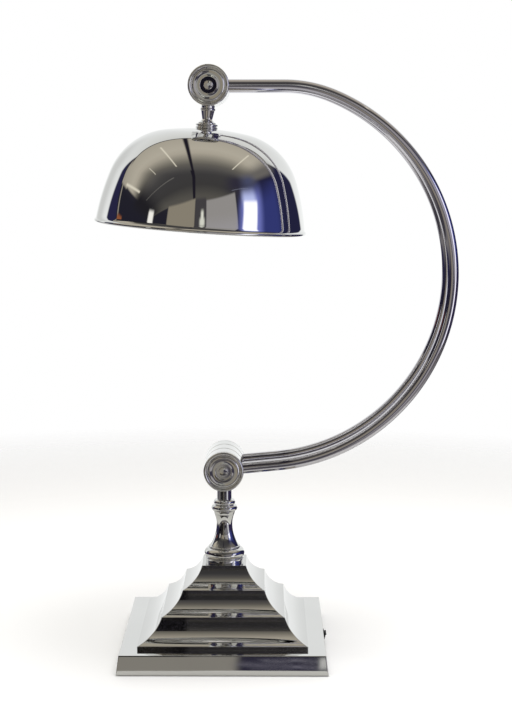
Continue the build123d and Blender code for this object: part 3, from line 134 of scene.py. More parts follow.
class LampFinish(bpy.types.PropertyGroup):
    """Colours of the lamp's finishes"""

    nickel: FloatVectorProperty(
        name="Nickel", description="Colour of the polished plating", subtype="COLOR",
        default=(0.87, 0.868, 0.86), min=0, max=1,
    )
    plastic: FloatVectorProperty(
        name="Switch Plastic", description="Colour of the switch and the cord gland", subtype="COLOR",
        default=(0.014, 0.014, 0.016), min=0, max=1,
    )
    felt: FloatVectorProperty(
        name="Felt", description="Colour of the pad under the base", subtype="COLOR",
        default=(0.030, 0.032, 0.036), min=0, max=1,
    )
    glass: FloatVectorProperty(
        name="Bulb Glass", description="Colour of the frosted bulb", subtype="COLOR",
        default=(0.93, 0.92, 0.89), min=0, max=1,
    )


class LampStudio(bpy.types.PropertyGroup):
    """Light and camera of the studio"""

    overhead_light: FloatProperty(
        name="Overhead Light", description="Strength of the soft light above the table",
        default=44.0, min=0, max=100,
    )
    table_radius: FloatProperty(
        name="Table Radius", description="Radius of the pale table top", default=0.207, min=0.12, max=5,
        unit="LENGTH",
    )
    lens: FloatProperty(
        name="Lens", description="Focal length of the camera", default=77.59, min=20, max=200,
        unit="CAMERA",
    )


# ---- outlines ----------------------------------------------------------------------------------


def bow(first, middle, last, steps=16):
    """Points of the arc through three points, both ends included."""
    (ax, ay), (bx, by), (cx, cy) = first, middle, last
    twice = 2 * (ax * (by - cy) + bx * (cy - ay) + cx * (ay - by))
    a2, b2, c2 = ax * ax + ay * ay, bx * bx + by * by, cx * cx + cy * cy
    ox = (a2 * (by - cy) + b2 * (cy - ay) + c2 * (ay - by)) / twice
    oy = (a2 * (cx - bx) + b2 * (ax - cx) + c2 * (bx - ax)) / twice
    radius = math.hypot(ax - ox, ay - oy)
    start = math.atan2(ay - oy, ax - ox)
    turn_b = (math.atan2(by - oy, bx - ox) - start) % math.tau
    turn_c = (math.atan2(cy - oy, cx - ox) - start) % math.tau
    sweep = turn_c if turn_b < turn_c else turn_c - math.tau
    return [
        (ox + radius * math.cos(start + sweep * i / steps), oy + radius * math.sin(start + sweep * i / steps))
        for i in range(steps + 1)
    ]


def hollow(upright_end, foot, steps=28):
    """Points of the arc that leaves the first point upright and ends at the second."""
    (ax, ay), (bx, by) = upright_end, foot
    radius = ((bx - ax) ** 2 + (by - ay) ** 2) / (2 * (bx - ax))
    turn = math.atan2(by - ay, ax + radius - bx)
    return [
        (ax + radius - radius * math.cos(turn * i / steps), ay + radius * math.sin(turn * i / steps))
        for i in range(steps + 1)
    ]


def softened(points, radius, closed=True, steps=4):
    """The outline with its sharp corners rounded, and a support point on each side of every corner."""
    points = [Vector(p) for p in points]
    outline = []
    for i, here in enumerate(points):
        if not closed and i in (0, len(points) - 1):
            outline.append(here)
            continue
        back, ahead = points[i - 1] - here, points[(i + 1) % len(points)] - here
        if back.length < NOTHING or ahead.length < NOTHING:
            continue
        between = back.angle(ahead)
        if math.pi - between < LEAST_TURN:
            outline.append(here)
            continue
        reach = min(radius / math.tan(between / 2), 0.4 * back.length, 0.4 * ahead.length)
        enter, leave = here + back.normalized() * reach, here + ahead.normalized() * reach
        if back.length > 4 * reach:
            outline.append(here + back.normalized() * 1.8 * reach)
        for step in range(steps + 1):
            t = step / steps
            outline.append(enter * (1 - t) ** 2 + here * 2 * t * (1 - t) + leave * t**2)
        if ahead.length > 4 * reach:
            outline.append(here + ahead.normalized() * 1.8 * reach)
    return [(p.x, p.y) for p in outline]


def arc_point(centre, radius, angle):
    """Point of an arc whose angle is counted from the axis, outwards and down."""
    return (centre[0] + radius * math.sin(angle), centre[1] + radius * math.cos(angle))


def dome_side(inset):
    """Points of the shade's wall from seat to rim, moved inwards by inset; height is negative down."""
    angle = math.asin(DOME_SEAT_R / DOME_ARCS[0][0])
    centre = (0, -DOME_SEAT - DOME_ARCS[0][0] * math.cos(angle))
    points = []
    for (radius, end), count, following in zip(DOME_ARCS, DOME_STEPS, DOME_ARCS[1:] + (None,)):
        end = math.radians(end)
        for i in range(0 if not points else 1, count + 1):
            points.append(arc_point(centre, radius - inset, angle + (end - angle) * i / count))
        if following:
            centre = arc_point(centre, radius - following[0], end)
        angle = end
    return points


# ---- meshes ------------------------------------------------------------------------------------


def placed(name, data):
    """Object of some data, linked to the scene."""
    made = bpy.data.objects.new(name, data)
    bpy.context.scene.collection.objects.link(made)
    return made


def new_piece(name, made, look, body, *nodes, slot="nickel"):
    """Object of a bmesh or finished mesh that rides on a body and stands for the CAD nodes named."""
    mesh = made if isinstance(made, bpy.types.Mesh) else mesh_of(name, made)
    mesh.materials.clear()
    mesh.materials.append(material_named(look))
    mesh.shade_smooth()
    mesh.set_sharp_from_angle(angle=SMOOTH_ANGLE)
    piece = placed(name, mesh)
    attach(piece, body)
    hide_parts(*nodes)
    return piece


def join_rings(work, rings, closed):
    """Skins a list of vertex rings; a ring of one vertex is a pole."""
    pairs = list(zip(rings, rings[1:]))
    if closed:
        pairs.append((rings[-1], rings[0]))
    for one, two in pairs:
        count = max(len(one), len(two))
        if count == 1:
            continue
        for i in range(count):
            j = (i + 1) % count
            corners = [one[i % len(one)], one[j % len(one)], two[j % len(two)], two[i % len(two)]]
            face = list(dict.fromkeys(corners))
            if len(face) > 2:
                work.faces.new(face)


def turned(work, outline, origin, axis, segments, closed=True):
    """Adds a solid of revolution of (radius, height) points about an axis, in millimetres."""
    axis = Vector(axis).normalized()
    side = axis.orthogonal().normalized()
    other = axis.cross(side)
    rings = []
    for radius, height in outline:
        centre = Vector(origin) + axis * height
        if abs(radius) < NOTHING:
            rings.append([work.verts.new(centre * MM)])
            continue
        ring = []
        for i in range(segments):
            turn = math.tau * i / segments
            outward = side * math.cos(turn) + other * math.sin(turn)
            ring.append(work.verts.new((centre + outward * radius) * MM))
        rings.append(ring)
    join_rings(work, rings, closed)


def squared(work, outline, corner, steps=4):
    """Adds a square hollow solid of (half side, height) points, with rounded upright corners."""
    rings = []
    for half, height in outline:
        ring = []
        for quarter in range(4):
            turn = math.pi / 2 * quarter
            cos, sin = math.cos(turn), math.sin(turn)
            inner = half - corner
            local = [(half, inner - corner)]
            for i in range(steps + 1):
                angle = math.pi / 2 * i / steps
                local.append((inner + corner * math.cos(angle), inner + corner * math.sin(angle)))
            local.append((inner - corner, half))
            for x, y in local:
                ring.append(work.verts.new(((x * cos - y * sin) * MM, (x * sin + y * cos) * MM, height * MM)))
        rings.append(ring)
    join_rings(work, rings, closed=True)


def boxed(work, outline, frame_of, corner, steps=3):
    """Adds a solid of rounded rectangles, each (half length, half width, height), in a frame."""
    rings = []
    for half_x, half_y, height in outline:
        if half_x < NOTHING:
            rings.append([work.verts.new(frame_of @ Vector((0, 0, height)) * MM)])
            continue
        ring = []
        for quarter, (sign_x, sign_y) in enumerate(((1, 1), (-1, 1), (-1, -1), (1, -1))):
            for i in range(steps + 1):
                angle = math.pi / 2 * (quarter + i / steps)
                x = sign_x * (half_x - corner) + corner * math.cos(angle)
                y = sign_y * (half_y - corner) + corner * math.sin(angle)
                ring.append(work.verts.new(frame_of @ Vector((x, y, height)) * MM))
        rings.append(ring)
    join_rings(work, rings, closed=False)


def prism(work, outline, half, frame_of, bevel):
    """Adds a straight solid on an outline, with its edges rounded, along the frame's third axis."""
    ends = [[work.verts.new(frame_of @ Vector((x, y, z)) * MM) for x, y in outline] for z in (-half, half)]
    faces = [work.faces.new(ends[0][::-1]), work.faces.new(ends[1])]
    for i in range(len(outline)):
        j = (i + 1) % len(outline)
        faces.append(work.faces.new((ends[0][i], ends[0][j], ends[1][j], ends[1][i])))
    if bevel:
        edges = {edge for face in faces for edge in face.edges}
        edges = [edge for edge in edges if edge.calc_face_angle(0) > math.radians(25)]
        bmesh.ops.bevel(work, geom=edges, offset=bevel * MM, segments=3, profile=0.5, affect="EDGES")


def axes(origin, x, z):
    """Frame of a tilted piece, in millimetres, from its first and third axes."""
    x, z = Vector(x), Vector(z)
    return Matrix.Translation(origin) @ Matrix((x, z.cross(x), z)).transposed().to_4x4()


def mesh_of(name, work):
    """Mesh of a finished bmesh, with its faces pointing outwards."""
    bmesh.ops.recalc_face_normals(work, faces=work.faces)
    mesh = bpy.data.meshes.new(name)
    work.to_mesh(mesh)
    work.free()
    return mesh


def turned_piece(name, outline, origin, axis, body, node, look="polished_nickel", edge=None, **details):
    """Turned piece of one closed outline, with its edges softened by edge millimetres."""
    sizes = bpy.context.scene.lamp_sizes
    work = bmesh.new()
    turned(work, softened(outline, edge or sizes.edge / MM), origin, axis, sizes.segments)
    return new_piece(name, work, look, body, node, **details)


def drum_outline(start, end, cavity=None):
    """Closed outline of a knuckle drum between two heights along the pin, with a bored middle."""
    sign = 1 if end > start else -1
    outline = [(DRUM_BORE_R, start), (DRUM_R - DRUM_EDGE, start), (DRUM_R, start + sign * DRUM_EDGE)]
    outline += [(DRUM_R, end - sign * DRUM_EDGE), (DRUM_R - DRUM_EDGE, end)]
    if cavity:
        radius, floor = cavity
        outline += [(radius, end), (radius, start + sign * floor), (DRUM_BORE_R, start + sign * floor)]
    else:
        outline += [(DRUM_BORE_R, end)]
    return outline


# ---- geometry nodes ----------------------------------------------------------------------------


def new_tree(name, *inputs):
    """Empty geometry node tree with a geometry in and out and named inputs, as (name, socket type)."""
    tree = bpy.data.node_groups.new(name, "GeometryNodeTree")
    tree.interface.new_socket("Geometry", in_out="INPUT", socket_type="NodeSocketGeometry")
    for label, kind in inputs:
        tree.interface.new_socket(label, in_out="INPUT", socket_type=kind)
    tree.interface.new_socket("Geometry", in_out="OUTPUT", socket_type="NodeSocketGeometry")
    return tree, tree.nodes.new("NodeGroupInput"), tree.nodes.new("NodeGroupOutput")


def end_tree(tree, socket, output, material):
    """Ends a tree in Realize Instances and Set Material."""
    realize = tree.nodes.new("GeometryNodeRealizeInstances")
    paint = tree.nodes.new("GeometryNodeSetMaterial")
    paint.inputs["Material"].default_value = material
    tree.links.new(socket, realize.inputs[0])
    tree.links.new(realize.outputs[0], paint.inputs["Geometry"])
    tree.links.new(paint.outputs["Geometry"], output.inputs[0])


def grown(name, source, tree, values):
    """Plain mesh of what a node tree makes from a source object, which is then removed."""
    modifier = source.modifiers.new(tree.name, "NODES")
    modifier.node_group = tree
    for item in tree.interface.items_tree:
        if item.in_out == "INPUT" and item.name in values:
            modifier[item.identifier] = values[item.name]
    depsgraph = bpy.context.evaluated_depsgraph_get()
    mesh = bpy.data.meshes.new_from_object(source.evaluated_get(depsgraph), depsgraph=depsgraph)
    mesh.name = name
    source.modifiers.remove(modifier)
    bpy.data.objects.remove(source)
    return mesh


def path_object(name, points):
    """Curve object of one poly spline through points in metres."""
    curve = bpy.data.curves.new(name, "CURVE")
    curve.dimensions = "3D"
    spline = curve.splines.new("POLY")
    spline.points.add(len(points) - 1)
    for point, place in zip(spline.points, points):
        point.co = (*place, 1)
    return placed(name, curve)


def points_object(name, places):
    """Mesh object of loose points in metres."""
    mesh = bpy.data.meshes.new(name)
    mesh.from_pydata([tuple(p) for p in places], [], [])
    return placed(name, mesh)


def tube_tree(material):
    """Tree that draws a round tube along its input curve."""
    sizes = ("Radius", "NodeSocketFloat"), ("Sides", "NodeSocketInt")
    tree, start, end = new_tree("Tube Along Path", *sizes)
    ring = tree.nodes.new("GeometryNodeCurvePrimitiveCircle")
    skin = tree.nodes.new("GeometryNodeCurveToMesh")
    skin.inputs["Fill Caps"].default_value = True
    tree.links.new(start.outputs["Radius"], ring.inputs["Radius"])
    tree.links.new(start.outputs["Sides"], ring.inputs["Resolution"])
    tree.links.new(start.outputs["Geometry"], skin.inputs["Curve"])
    tree.links.new(ring.outputs["Curve"], skin.inputs["Profile Curve"])
    end_tree(tree, skin.outputs["Mesh"], end, material)
    return tree


def scatter_tree(material):
    """Tree that sets a pattern object on every input point."""
    tree, start, end = new_tree("Set On Points", ("Pattern", "NodeSocketObject"))
    info = tree.nodes.new("GeometryNodeObjectInfo")
    place = tree.nodes.new("GeometryNodeInstanceOnPoints")
    tree.links.new(start.outputs["Pattern"], info.inputs["Object"])
    tree.links.new(start.outputs["Geometry"], place.inputs["Points"])
    tree.links.new(info.outputs["Geometry"], place.inputs["Instance"])
    end_tree(tree, place.outputs["Instances"], end, material)
    return tree


# ---- materials ---------------------------------------------------------------------------------


def new_material(name):
    """Empty material with its shader and Object coordinates."""
    material = bpy.data.materials.new(name)
    material.use_nodes = True
    nodes, links = material.node_tree.nodes, material.node_tree.links
    shader = nodes["Principled BSDF"]
    place = nodes.new("ShaderNodeTexCoord")
    return material, nodes, links, shader, place.outputs["Object"]


def noise(nodes, links, place, scale, detail=3.0):
    """Noise on Object coordinates."""
    texture = nodes.new("ShaderNodeTexNoise")
    texture.inputs["Scale"].default_value = scale
    texture.inputs["Detail"].default_value = detail
    links.new(place, texture.inputs["Vector"])
    return texture.outputs["Fac"]


def span(nodes, links, value, low, high, reach=(0.3, 0.7)):
    """The value, spread from low to high."""
    node = nodes.new("ShaderNodeMapRange")
    node.inputs["From Min"].default_value, node.inputs["From Max"].default_value = reach
    node.inputs["To Min"].default_value, node.inputs["To Max"].default_value = low, high
    links.new(value, node.inputs["Value"])
    return node.outputs["Result"]


def tinted(nodes, links, value, dark, light):
    """Colour between two tones, by the value."""
    node = nodes.new("ShaderNodeValToRGB")
    node.color_ramp.elements[0].position, node.color_ramp.elements[1].position = 0.3, 0.7
    node.color_ramp.elements[0].color = (*dark, 1)
    node.color_ramp.elements[1].color = (*light, 1)
    links.new(value, node.inputs["Fac"])
    return node.outputs["Color"]


def bumped(nodes, links, shader, layers):
    """Bump of one or more (height, distance in metres) layers."""
    normal = None
    for height, distance in layers:
        node = nodes.new("ShaderNodeBump")
        node.inputs["Distance"].default_value = distance
        links.new(height, node.inputs["Height"])
        if normal:
            links.new(normal, node.inputs["Normal"])
        normal = node.outputs["Normal"]
    links.new(normal, shader.inputs["Normal"])


def metal(name, colour, rough, waves=0.00006, wave_scale=14.0, grain=None):
    """Metal whose tone, polish and flatness vary a little over its surface."""
    material, nodes, links, shader, place = new_material(name)
    shader.inputs["Metallic"].default_value = 1.0
    cloud = noise(nodes, links, place, 9.0)
    links.new(tinted(nodes, links, cloud, [c * 0.955 for c in colour], colour), shader.inputs["Base Color"])
    haze = noise(nodes, links, place, 55.0, 5.0)
    links.new(span(nodes, links, haze, *rough), shader.inputs["Roughness"])
    layers = [(noise(nodes, links, place, wave_scale, 1.0), waves)]
    if grain:
        layers.append((noise(nodes, links, place, grain[0], 2.0), grain[1]))
    bumped(nodes, links, shader, layers)
    return material


def moulded(name, dark, light, rough, grain, depth, sheen=None, specular=0.5):
    """Plastic, porcelain, fibre or felt: a mottled colour with a fine grain."""
    material, nodes, links, shader, place = new_material(name)
    cloud = noise(nodes, links, place, grain / 9)
    links.new(tinted(nodes, links, cloud, dark, light), shader.inputs["Base Color"])
    fine = noise(nodes, links, place, grain, 4.0)
    links.new(span(nodes, links, fine, *rough), shader.inputs["Roughness"])
    shader.inputs["Specular IOR Level"].default_value = specular
    if sheen:
        shader.inputs["Sheen Weight"].default_value = sheen
    bumped(nodes, links, shader, [(fine, depth)])
    return material


def shaded(colour, share):
    """The colour, made darker or lighter by a share."""
    return [min(1.0, c * share) for c in colour]


MATERIALS = {}


def material_named(name):
    """One of the lamp's materials, made the first time that it is asked for."""
    if name not in MATERIALS:
        look = bpy.context.scene.lamp_finish
        nickel, plastic, felt = tuple(look.nickel), tuple(look.plastic), tuple(look.felt)
        makers = {
            "polished_nickel": lambda: metal(name, nickel, (0.012, 0.035)),
            # Darker copy of the nickel on the coved pyramid: painted shade
            "cove_nickel_painted_shade": lambda: metal(name, shaded(nickel, 0.82), (0.012, 0.04), 0.00010, 12.0),
            # Slightly darker copy of the nickel on the base plate: painted shade; its waves are the plate's
            # own unevenness
            "plate_nickel_painted_shade": lambda: metal(name, shaded(nickel, 0.93), (0.012, 0.04), 0.00022, 11.0),
            "spun_nickel": lambda: metal(name, nickel, (0.012, 0.035), 0.00020, 8.0),
            "drawn_nickel": lambda: metal(name, (0.79, 0.775, 0.83), (0.05, 0.09), 0.00003, 22.0),
            # Dark nickel used only as painted shade on the floor of the caps' grooves
            "groove_shade_nickel": lambda: metal(name, (0.035, 0.033, 0.060), (0.25, 0.4)),
            "zinc_steel": lambda: metal(name, (0.60, 0.61, 0.62), (0.24, 0.42), grain=(700.0, 0.00001)),
            "cast_iron": lambda: moulded(
                name, (0.030, 0.030, 0.032), (0.062, 0.061, 0.060), (0.55, 0.8), 420.0, 0.00025
            ),
            "dull_brass": lambda: metal(name, (0.70, 0.50, 0.22), (0.26, 0.42), grain=(600.0, 0.000008)),
            "black_felt": lambda: moulded(
                name, shaded(felt, 0.6), shaded(felt, 1.3), (0.85, 1.0), 1400.0, 0.0006, sheen=0.4
            ),
            "black_plastic": lambda: moulded(
                name, shaded(plastic, 0.8), shaded(plastic, 1.25), (0.42, 0.56), 1500.0, 0.00002,
                specular=0.07,
            ),
            "nylon": lambda: moulded(
                name, (0.66, 0.64, 0.58), (0.76, 0.74, 0.68), (0.35, 0.5), 900.0, 0.00003
            ),
            "porcelain": lambda: moulded(
                name, (0.78, 0.76, 0.71), (0.86, 0.85, 0.81), (0.08, 0.18), 160.0, 0.00004
            ),
            "fibre": lambda: moulded(
                name, (0.018, 0.015, 0.013), (0.040, 0.034, 0.028), (0.6, 0.85), 1300.0, 0.0001
            ),
            "wire": lambda: moulded(
                name, (0.62, 0.60, 0.54), (0.72, 0.70, 0.64), (0.3, 0.45), 800.0, 0.00003
            ),
            "frosted_glass": frosted_glass,
        }
        MATERIALS[name] = makers[name]()
    return MATERIALS[name]


def frosted_glass():
    """White frosted bulb glass."""
    material, nodes, links, shader, place = new_material("frosted_glass")
    glass = tuple(bpy.context.scene.lamp_finish.glass)
    cloud = noise(nodes, links, place, 40.0)
    links.new(tinted(nodes, links, cloud, shaded(glass, 0.97), glass), shader.inputs["Base Color"])
    fine = noise(nodes, links, place, 900.0, 4.0)
    links.new(span(nodes, links, fine, 0.22, 0.34), shader.inputs["Roughness"])
    shader.inputs["Coat Weight"].default_value = 0.4
    shader.inputs["Coat Roughness"].default_value = 0.12
    shader.inputs["Subsurface Weight"].default_value = 0.25
    shader.inputs["Subsurface Radius"].default_value = (0.01, 0.01, 0.01)
    bumped(nodes, links, shader, [(fine, 0.000015)])
    return material


# ---- operators ---------------------------------------------------------------------------------


class LAMP_OT_base_plate(bpy.types.Operator):
    """Square base pan with sloping sides and polished edges"""

    bl_idname = "lamp.base_plate"
    bl_label = "Base Plate"

    def execute(self, context):
        sizes = context.scene.lamp_sizes
        outline = [(114.0, 0.6), (111.2, BAND_FOOT), (BORE_R, BAND_FOOT), (BORE_R, 19.4)]
        outline += [(109.03, 19.4), (111.5, 0.6)]
        work = bmesh.new()
        squared(work, softened(outline, 0.8, steps=6), sizes.corner / MM)
        # The base plate takes the darker nickel copy, as painted shade
        new_piece("polished_base", work, "plate_nickel_painted_shade", "base", "base_pan")
        return {"FINISHED"}


class LAMP_OT_pyramid(bpy.types.Operator):
    """Three coved stages on a plain band, stepping up to the column"""

    bl_idname = "lamp.pyramid"
    bl_label = "Stepped Pyramid"

    def execute(self, context):
        sizes = context.scene.lamp_sizes
        work = bmesh.new()
        squared(work, softened(self.outline(), sizes.edge / MM), sizes.corner / MM)
        # The coves take the darker nickel copy, as painted shade
        new_piece("coved_pyramid", work, "cove_nickel_painted_shade", "base", "stepped_pyramid")
        return {"FINISHED"}

    @staticmethod
    def outline():
        """Closed half section of the pyramid's shell."""
        shells = []
        for inset in (0, PYRAMID_WALL):
            corners = [
                (w * PYRAMID_SIDE / 2 - inset, BAND_TOP + h * PYRAMID_RISE - inset)
                for w, h in zip(STAGE_WIDTHS, STAGE_HEIGHTS)
            ]
            points = [corners[0]]
            for (x0, z0), (x1, z1) in zip(corners, corners[1:]):
                middle = ((x0 + x1) / 2 - COVE_SAG * (z0 - z1), (z0 + z1) / 2 - COVE_SAG * (x1 - x0))
                points += bow((x0, z0), middle, (x1, z1), 26)[1:]
            points.append((corners[-1][0], BAND_FOOT))
            shells.append(points)
        outside, inside = shells
        return [(BORE_R, outside[0][1])] + outside + inside[::-1] + [(BORE_R, inside[0][1])]


class LAMP_OT_column(bpy.types.Operator):
    """Turned column: foot with its beads, slender waist and collar"""

    bl_idname = "lamp.column"
    bl_label = "Column"

    def execute(self, context):
        foot = [(BORE_R, 97.5), (20.8, 97.5), (20.8, 100.9)]
        foot += bow((20.8, 100.9), (21.7, 101.8), (20.8, 102.7), 12)[1:]
        foot += bow((20.8, 102.7), (22.8, 107.3), (17.0, 113.3), 30)[1:]
        foot += bow((17.0, 113.3), (18.0, 114.4), (17.0, 115.5), 14)[1:] + [(BORE_R, 115.5)]
        waist = hollow((9.0, 140.0), (16.6, 115.5))[::-1] + hollow((9.0, 140.0), (11.3, 151.5))[1:]
        waist = [(BORE_R, 115.5)] + waist + [(BORE_R, 151.5)]
        collar = [(BORE_R, 151.5), (11.3, 151.5)] + bow((11.3, 151.5), (11.8, 153.5), (12.6, 155.3), 8)[1:]
        collar += bow((12.6, 155.3), (14.6, 158.6), (12.6, 161.9), 20)[1:] + [(11.2, 161.9)]
        collar += bow((11.2, 162.7), (12.2, 165.35), (10.2, 168.0), 16)
        collar += [(7.0, 168.0), (7.0, 153.7), (BORE_R, 153.7)]
        for part, outline in (("foot", foot), ("waist", waist), ("collar", collar)):
            turned_piece(f"{part}_turning", outline, ORIGIN, UP, "base", f"column_{part}")
        return {"FINISHED"}


class LAMP_OT_turret(bpy.types.Operator):
    """Swivelling neck with the middle drum of the lower knuckle"""

    bl_idname = "lamp.turret"
    bl_label = "Turret"

    def execute(self, context):
        sizes = context.scene.lamp_sizes
        drum = drum_outline(-MIDDLE_HALF, MIDDLE_HALF)
        neck = [(3.5, 154.5), (6.95, 154.5), (6.95, 168.3), (8.15, 168.3), (8.15, 190.0), (3.5, 190.0)]
        work = bmesh.new()
        for outline, origin, axis in ((drum, LOWER_PIN, ACROSS), (neck, ORIGIN, UP)):
            turned(work, softened(outline, sizes.edge / MM), origin, axis, sizes.segments)
        new_piece("turret_neck", work, "polished_nickel", "turret", "turret")
        return {"FINISHED"}


class LAMP_OT_knuckles(bpy.types.Operator):
    """Cheeks, caps, pins and friction rings of both knuckles"""

    bl_idname = "lamp.knuckles"
    bl_label = "Knuckles"

    def execute(self, context):
        sizes = context.scene.lamp_sizes
        for level, pin in KNUCKLES.items():
            for side, sign in SIDES.items():
                outline = drum_outline(sign * CHEEK_START, sign * CHEEK_END, CHEEK_CAVITY)
                turned_piece(f"{level}_drum_{side}", outline, pin, ACROSS, "arm", f"{level}_cheek_{side}")
                outline = [(r, sign * y) for r, y in self.cap_outline()]
                cap = turned_piece(f"{level}_end_{side}", outline, pin, ACROSS, "arm", f"{level}_cap_{side}")
                # The upper caps get painted shade in the groove round the button
                if level == "upper":
                    self.paint_groove_shade(cap.data, pin)
                work = bmesh.new()
                outline = [(r, sign * y) for r, y in self.button_outline(side)]
                outline = softened(outline, sizes.edge / MM, closed=False)
                turned(work, outline, pin, ACROSS, sizes.segments // 2, closed=False)
                node = f"{level}_pin" if side == "front" else f"{level}_pin_nut"
                new_piece(f"{level}_button_{side}", work, "polished_nickel", "arm", node)
            work = bmesh.new()
            for sign in SIDES.values():
                near, far = sign * MIDDLE_HALF, sign * CHEEK_START
                ring = [(RING_IN_R, near), (RING_OUT_R, near), (RING_OUT_R, far), (RING_IN_R, far)]
                turned(work, softened(ring, RING_EDGE), pin, ACROSS, sizes.segments)
            new_piece(f"{level}_fibre_rings", work, "fibre", "arm", f"{level}_friction_rings", slot="fibre")
        return {"FINISHED"}

    @staticmethod
    def paint_groove_shade(mesh, pin):
        """Paints shade on the floor of the groove round the button: a dark navy material stands in for the
        shadow deep in the groove.
        """
        mesh.materials.append(material_named("groove_shade_nickel"))
        for face in mesh.polygons:
            x, y, z = face.center / MM - pin
            reach, height = math.hypot(x, z), abs(y)
            if SHADED_GROOVE_REACH[0] < reach < SHADED_GROOVE_REACH[1] and SHADED_GROOVE_HEIGHT[0] < height < SHADED_GROOVE_HEIGHT[1]:
                face.material_index = 1

    @staticmethod
    def cap_outline():
        """Closed half section of an end cap: rolled edge, groove, dished disc, rings and recess."""
        outline = bow((22.1, 36.0), (20.5, 37.6), (18.6, 36.3), 16) + [(17.8, 36.2)]
        outline += bow((17.8, 36.2), (17.0, 37.1), (14.8, 37.5), 12)[1:]
        outline += bow((14.8, 37.5), (12.0, 37.1), (9.4, 37.4), 12)[1:]
        outline += bow((9.4, 37.4), (8.9, 37.3), (8.7, 36.9), 4)[1:]
        outline += [(8.6, 33.9), (5.15, 33.9), (5.15, 35.2)]
        outline += [(4.45, 35.2), (4.45, 33.0), (16.5, 33.0), (16.5, 31.8), (19.05, 31.8), (19.05, 33.0)]
        return outline + [(21.6, 33.0), (22.1, 33.5)]

    @staticmethod
    def button_outline(side):
        """Half section from the button's middle inwards along the pin."""
        outline = bow((0, 37.5), (2.4, 37.44), (4.4, 37.15), 8)
        outline += bow((4.4, 37.15), (4.85, 36.9), (5.0, 36.5), 4)[1:]
        outline += [(5.0, 35.2), (4.4, 35.2)]
        if side == "front":
            return outline + [(4.4, 33.0), (3.0, 33.0), (3.0, -33.7), (0, -33.7)]
        return outline + [(4.4, 27.2), (3.05, 27.2), (3.05, 34.0), (0, 34.0)]


class LAMP_OT_arm_tubes(bpy.types.Operator):
    """Twin tubes that bow from the lower knuckle to the upper one"""

    bl_idname = "lamp.arm_tubes"
    bl_label = "Arm Tubes"

    def execute(self, context):
        sizes = context.scene.lamp_sizes
        tree = tube_tree(material_named("drawn_nickel"))
        for side, sign in SIDES.items():
            line = [Vector((x, sign * sizes.tube_pitch / 2 / MM, z)) * MM for x, z in self.centre_line()]
            name = f"bow_tube_{side}"
            values = {"Radius": sizes.tube_radius, "Sides": TUBE_SIDES}
            mesh = grown(name, path_object(name, line), tree, values)
            new_piece(name, mesh, "drawn_nickel", "arm", f"arm_tube_{side}")
        return {"FINISHED"}

    @staticmethod
    def centre_line():
        """Points of the tube's centre line in its own plane: run, long bow, shoulder and level run."""
        x, z = LOWER_PIN.x, LOWER_PIN.z
        along = math.cos(TUBE_RISE), math.sin(TUBE_RISE)
        points = [(x + TUBE_INSET * along[0], z + TUBE_INSET * along[1])]
        x, z = x + TUBE_RUN * along[0], z + TUBE_RUN * along[1]
        long_bow = (BOW_R, TUBE_RISE, TUBE_SHOULDER, BOW_STEPS)
        shoulder = (SHOULDER_R, TUBE_SHOULDER, math.pi, SHOULDER_STEPS)
        for radius, start, end, count in (long_bow, shoulder):
            for i in range(0 if len(points) == 1 else 1, count + 1):
                angle = start + (end - start) * i / count
                points.append((
                    x + radius * (math.sin(angle) - math.sin(start)),
                    z + radius * (math.cos(start) - math.cos(angle)),
                ))
            x, z = points[-1]
        return points + [(UPPER_PIN.x + TUBE_INSET, z)]


class LAMP_OT_shade_hub(bpy.types.Operator):
    """Middle drum of the upper knuckle and the turned stem that carries the shade"""

    bl_idname = "lamp.shade_hub"
    bl_label = "Shade Hub and Stem"

    def execute(self, context):
        drum = drum_outline(-MIDDLE_HALF, MIDDLE_HALF)
        turned_piece("shade_drum", drum, UPPER_PIN, ACROSS, "shade", "upper_hub")
        stem = [(3.5, 16.2), (5.0, 16.2), (5.0, 19.0), (7.45, 19.0), (7.45, 23.2)]
        stem += bow((7.45, 23.2), (8.3, 24.8), (7.45, 26.4), 12)[1:] + [(5.6, 35.6)]
        stem += bow((5.6, 35.6), (7.15, 37.6), (9.9, 39.6), 12)[1:] + [(9.9, 40.6)]
        for top in (40.6, 43.6):
            stem += bow((11.1, top), (12.2, top + 1.2), (11.1, top + 2.4), 12)
        stem += [(BORE_R, DOME_SEAT), (BORE_R, 38.0), (3.5, 38.0)]
        turned_piece("stem_turning", stem, UPPER_PIN, SHADE_DOWN, "shade", "shade_stem")
        return {"FINISHED"}


class LAMP_OT_shade(bpy.types.Operator):
    """Spun dome shade with its rolled rim"""

    bl_idname = "lamp.shade"
    bl_label = "Dome Shade"

    def execute(self, context):
        sizes = context.scene.lamp_sizes
        outside, inside = dome_side(0), dome_side(DOME_WALL)
        middle, edge_z = (outside[-1][0] + inside[-1][0]) / 2, outside[-1][1]
        rim = []
        for i in range(RIM_STEPS + 1):
            angle = RIM_START - RIM_SWEEP * i / RIM_STEPS
            rim.append((middle + RIM_R * math.cos(angle), edge_z + RIM_R * math.sin(angle)))
        outline = [(BORE_R, outside[0][1])] + outside[:-1] + rim + inside[-2::-1] + [(BORE_R, inside[0][1])]
        work = bmesh.new()
        turned(work, outline, UPPER_PIN, -SHADE_DOWN, 2 * sizes.segments)
        new_piece("spun_shade", work, "spun_nickel", "shade", "shade_dome")
        return {"FINISHED"}


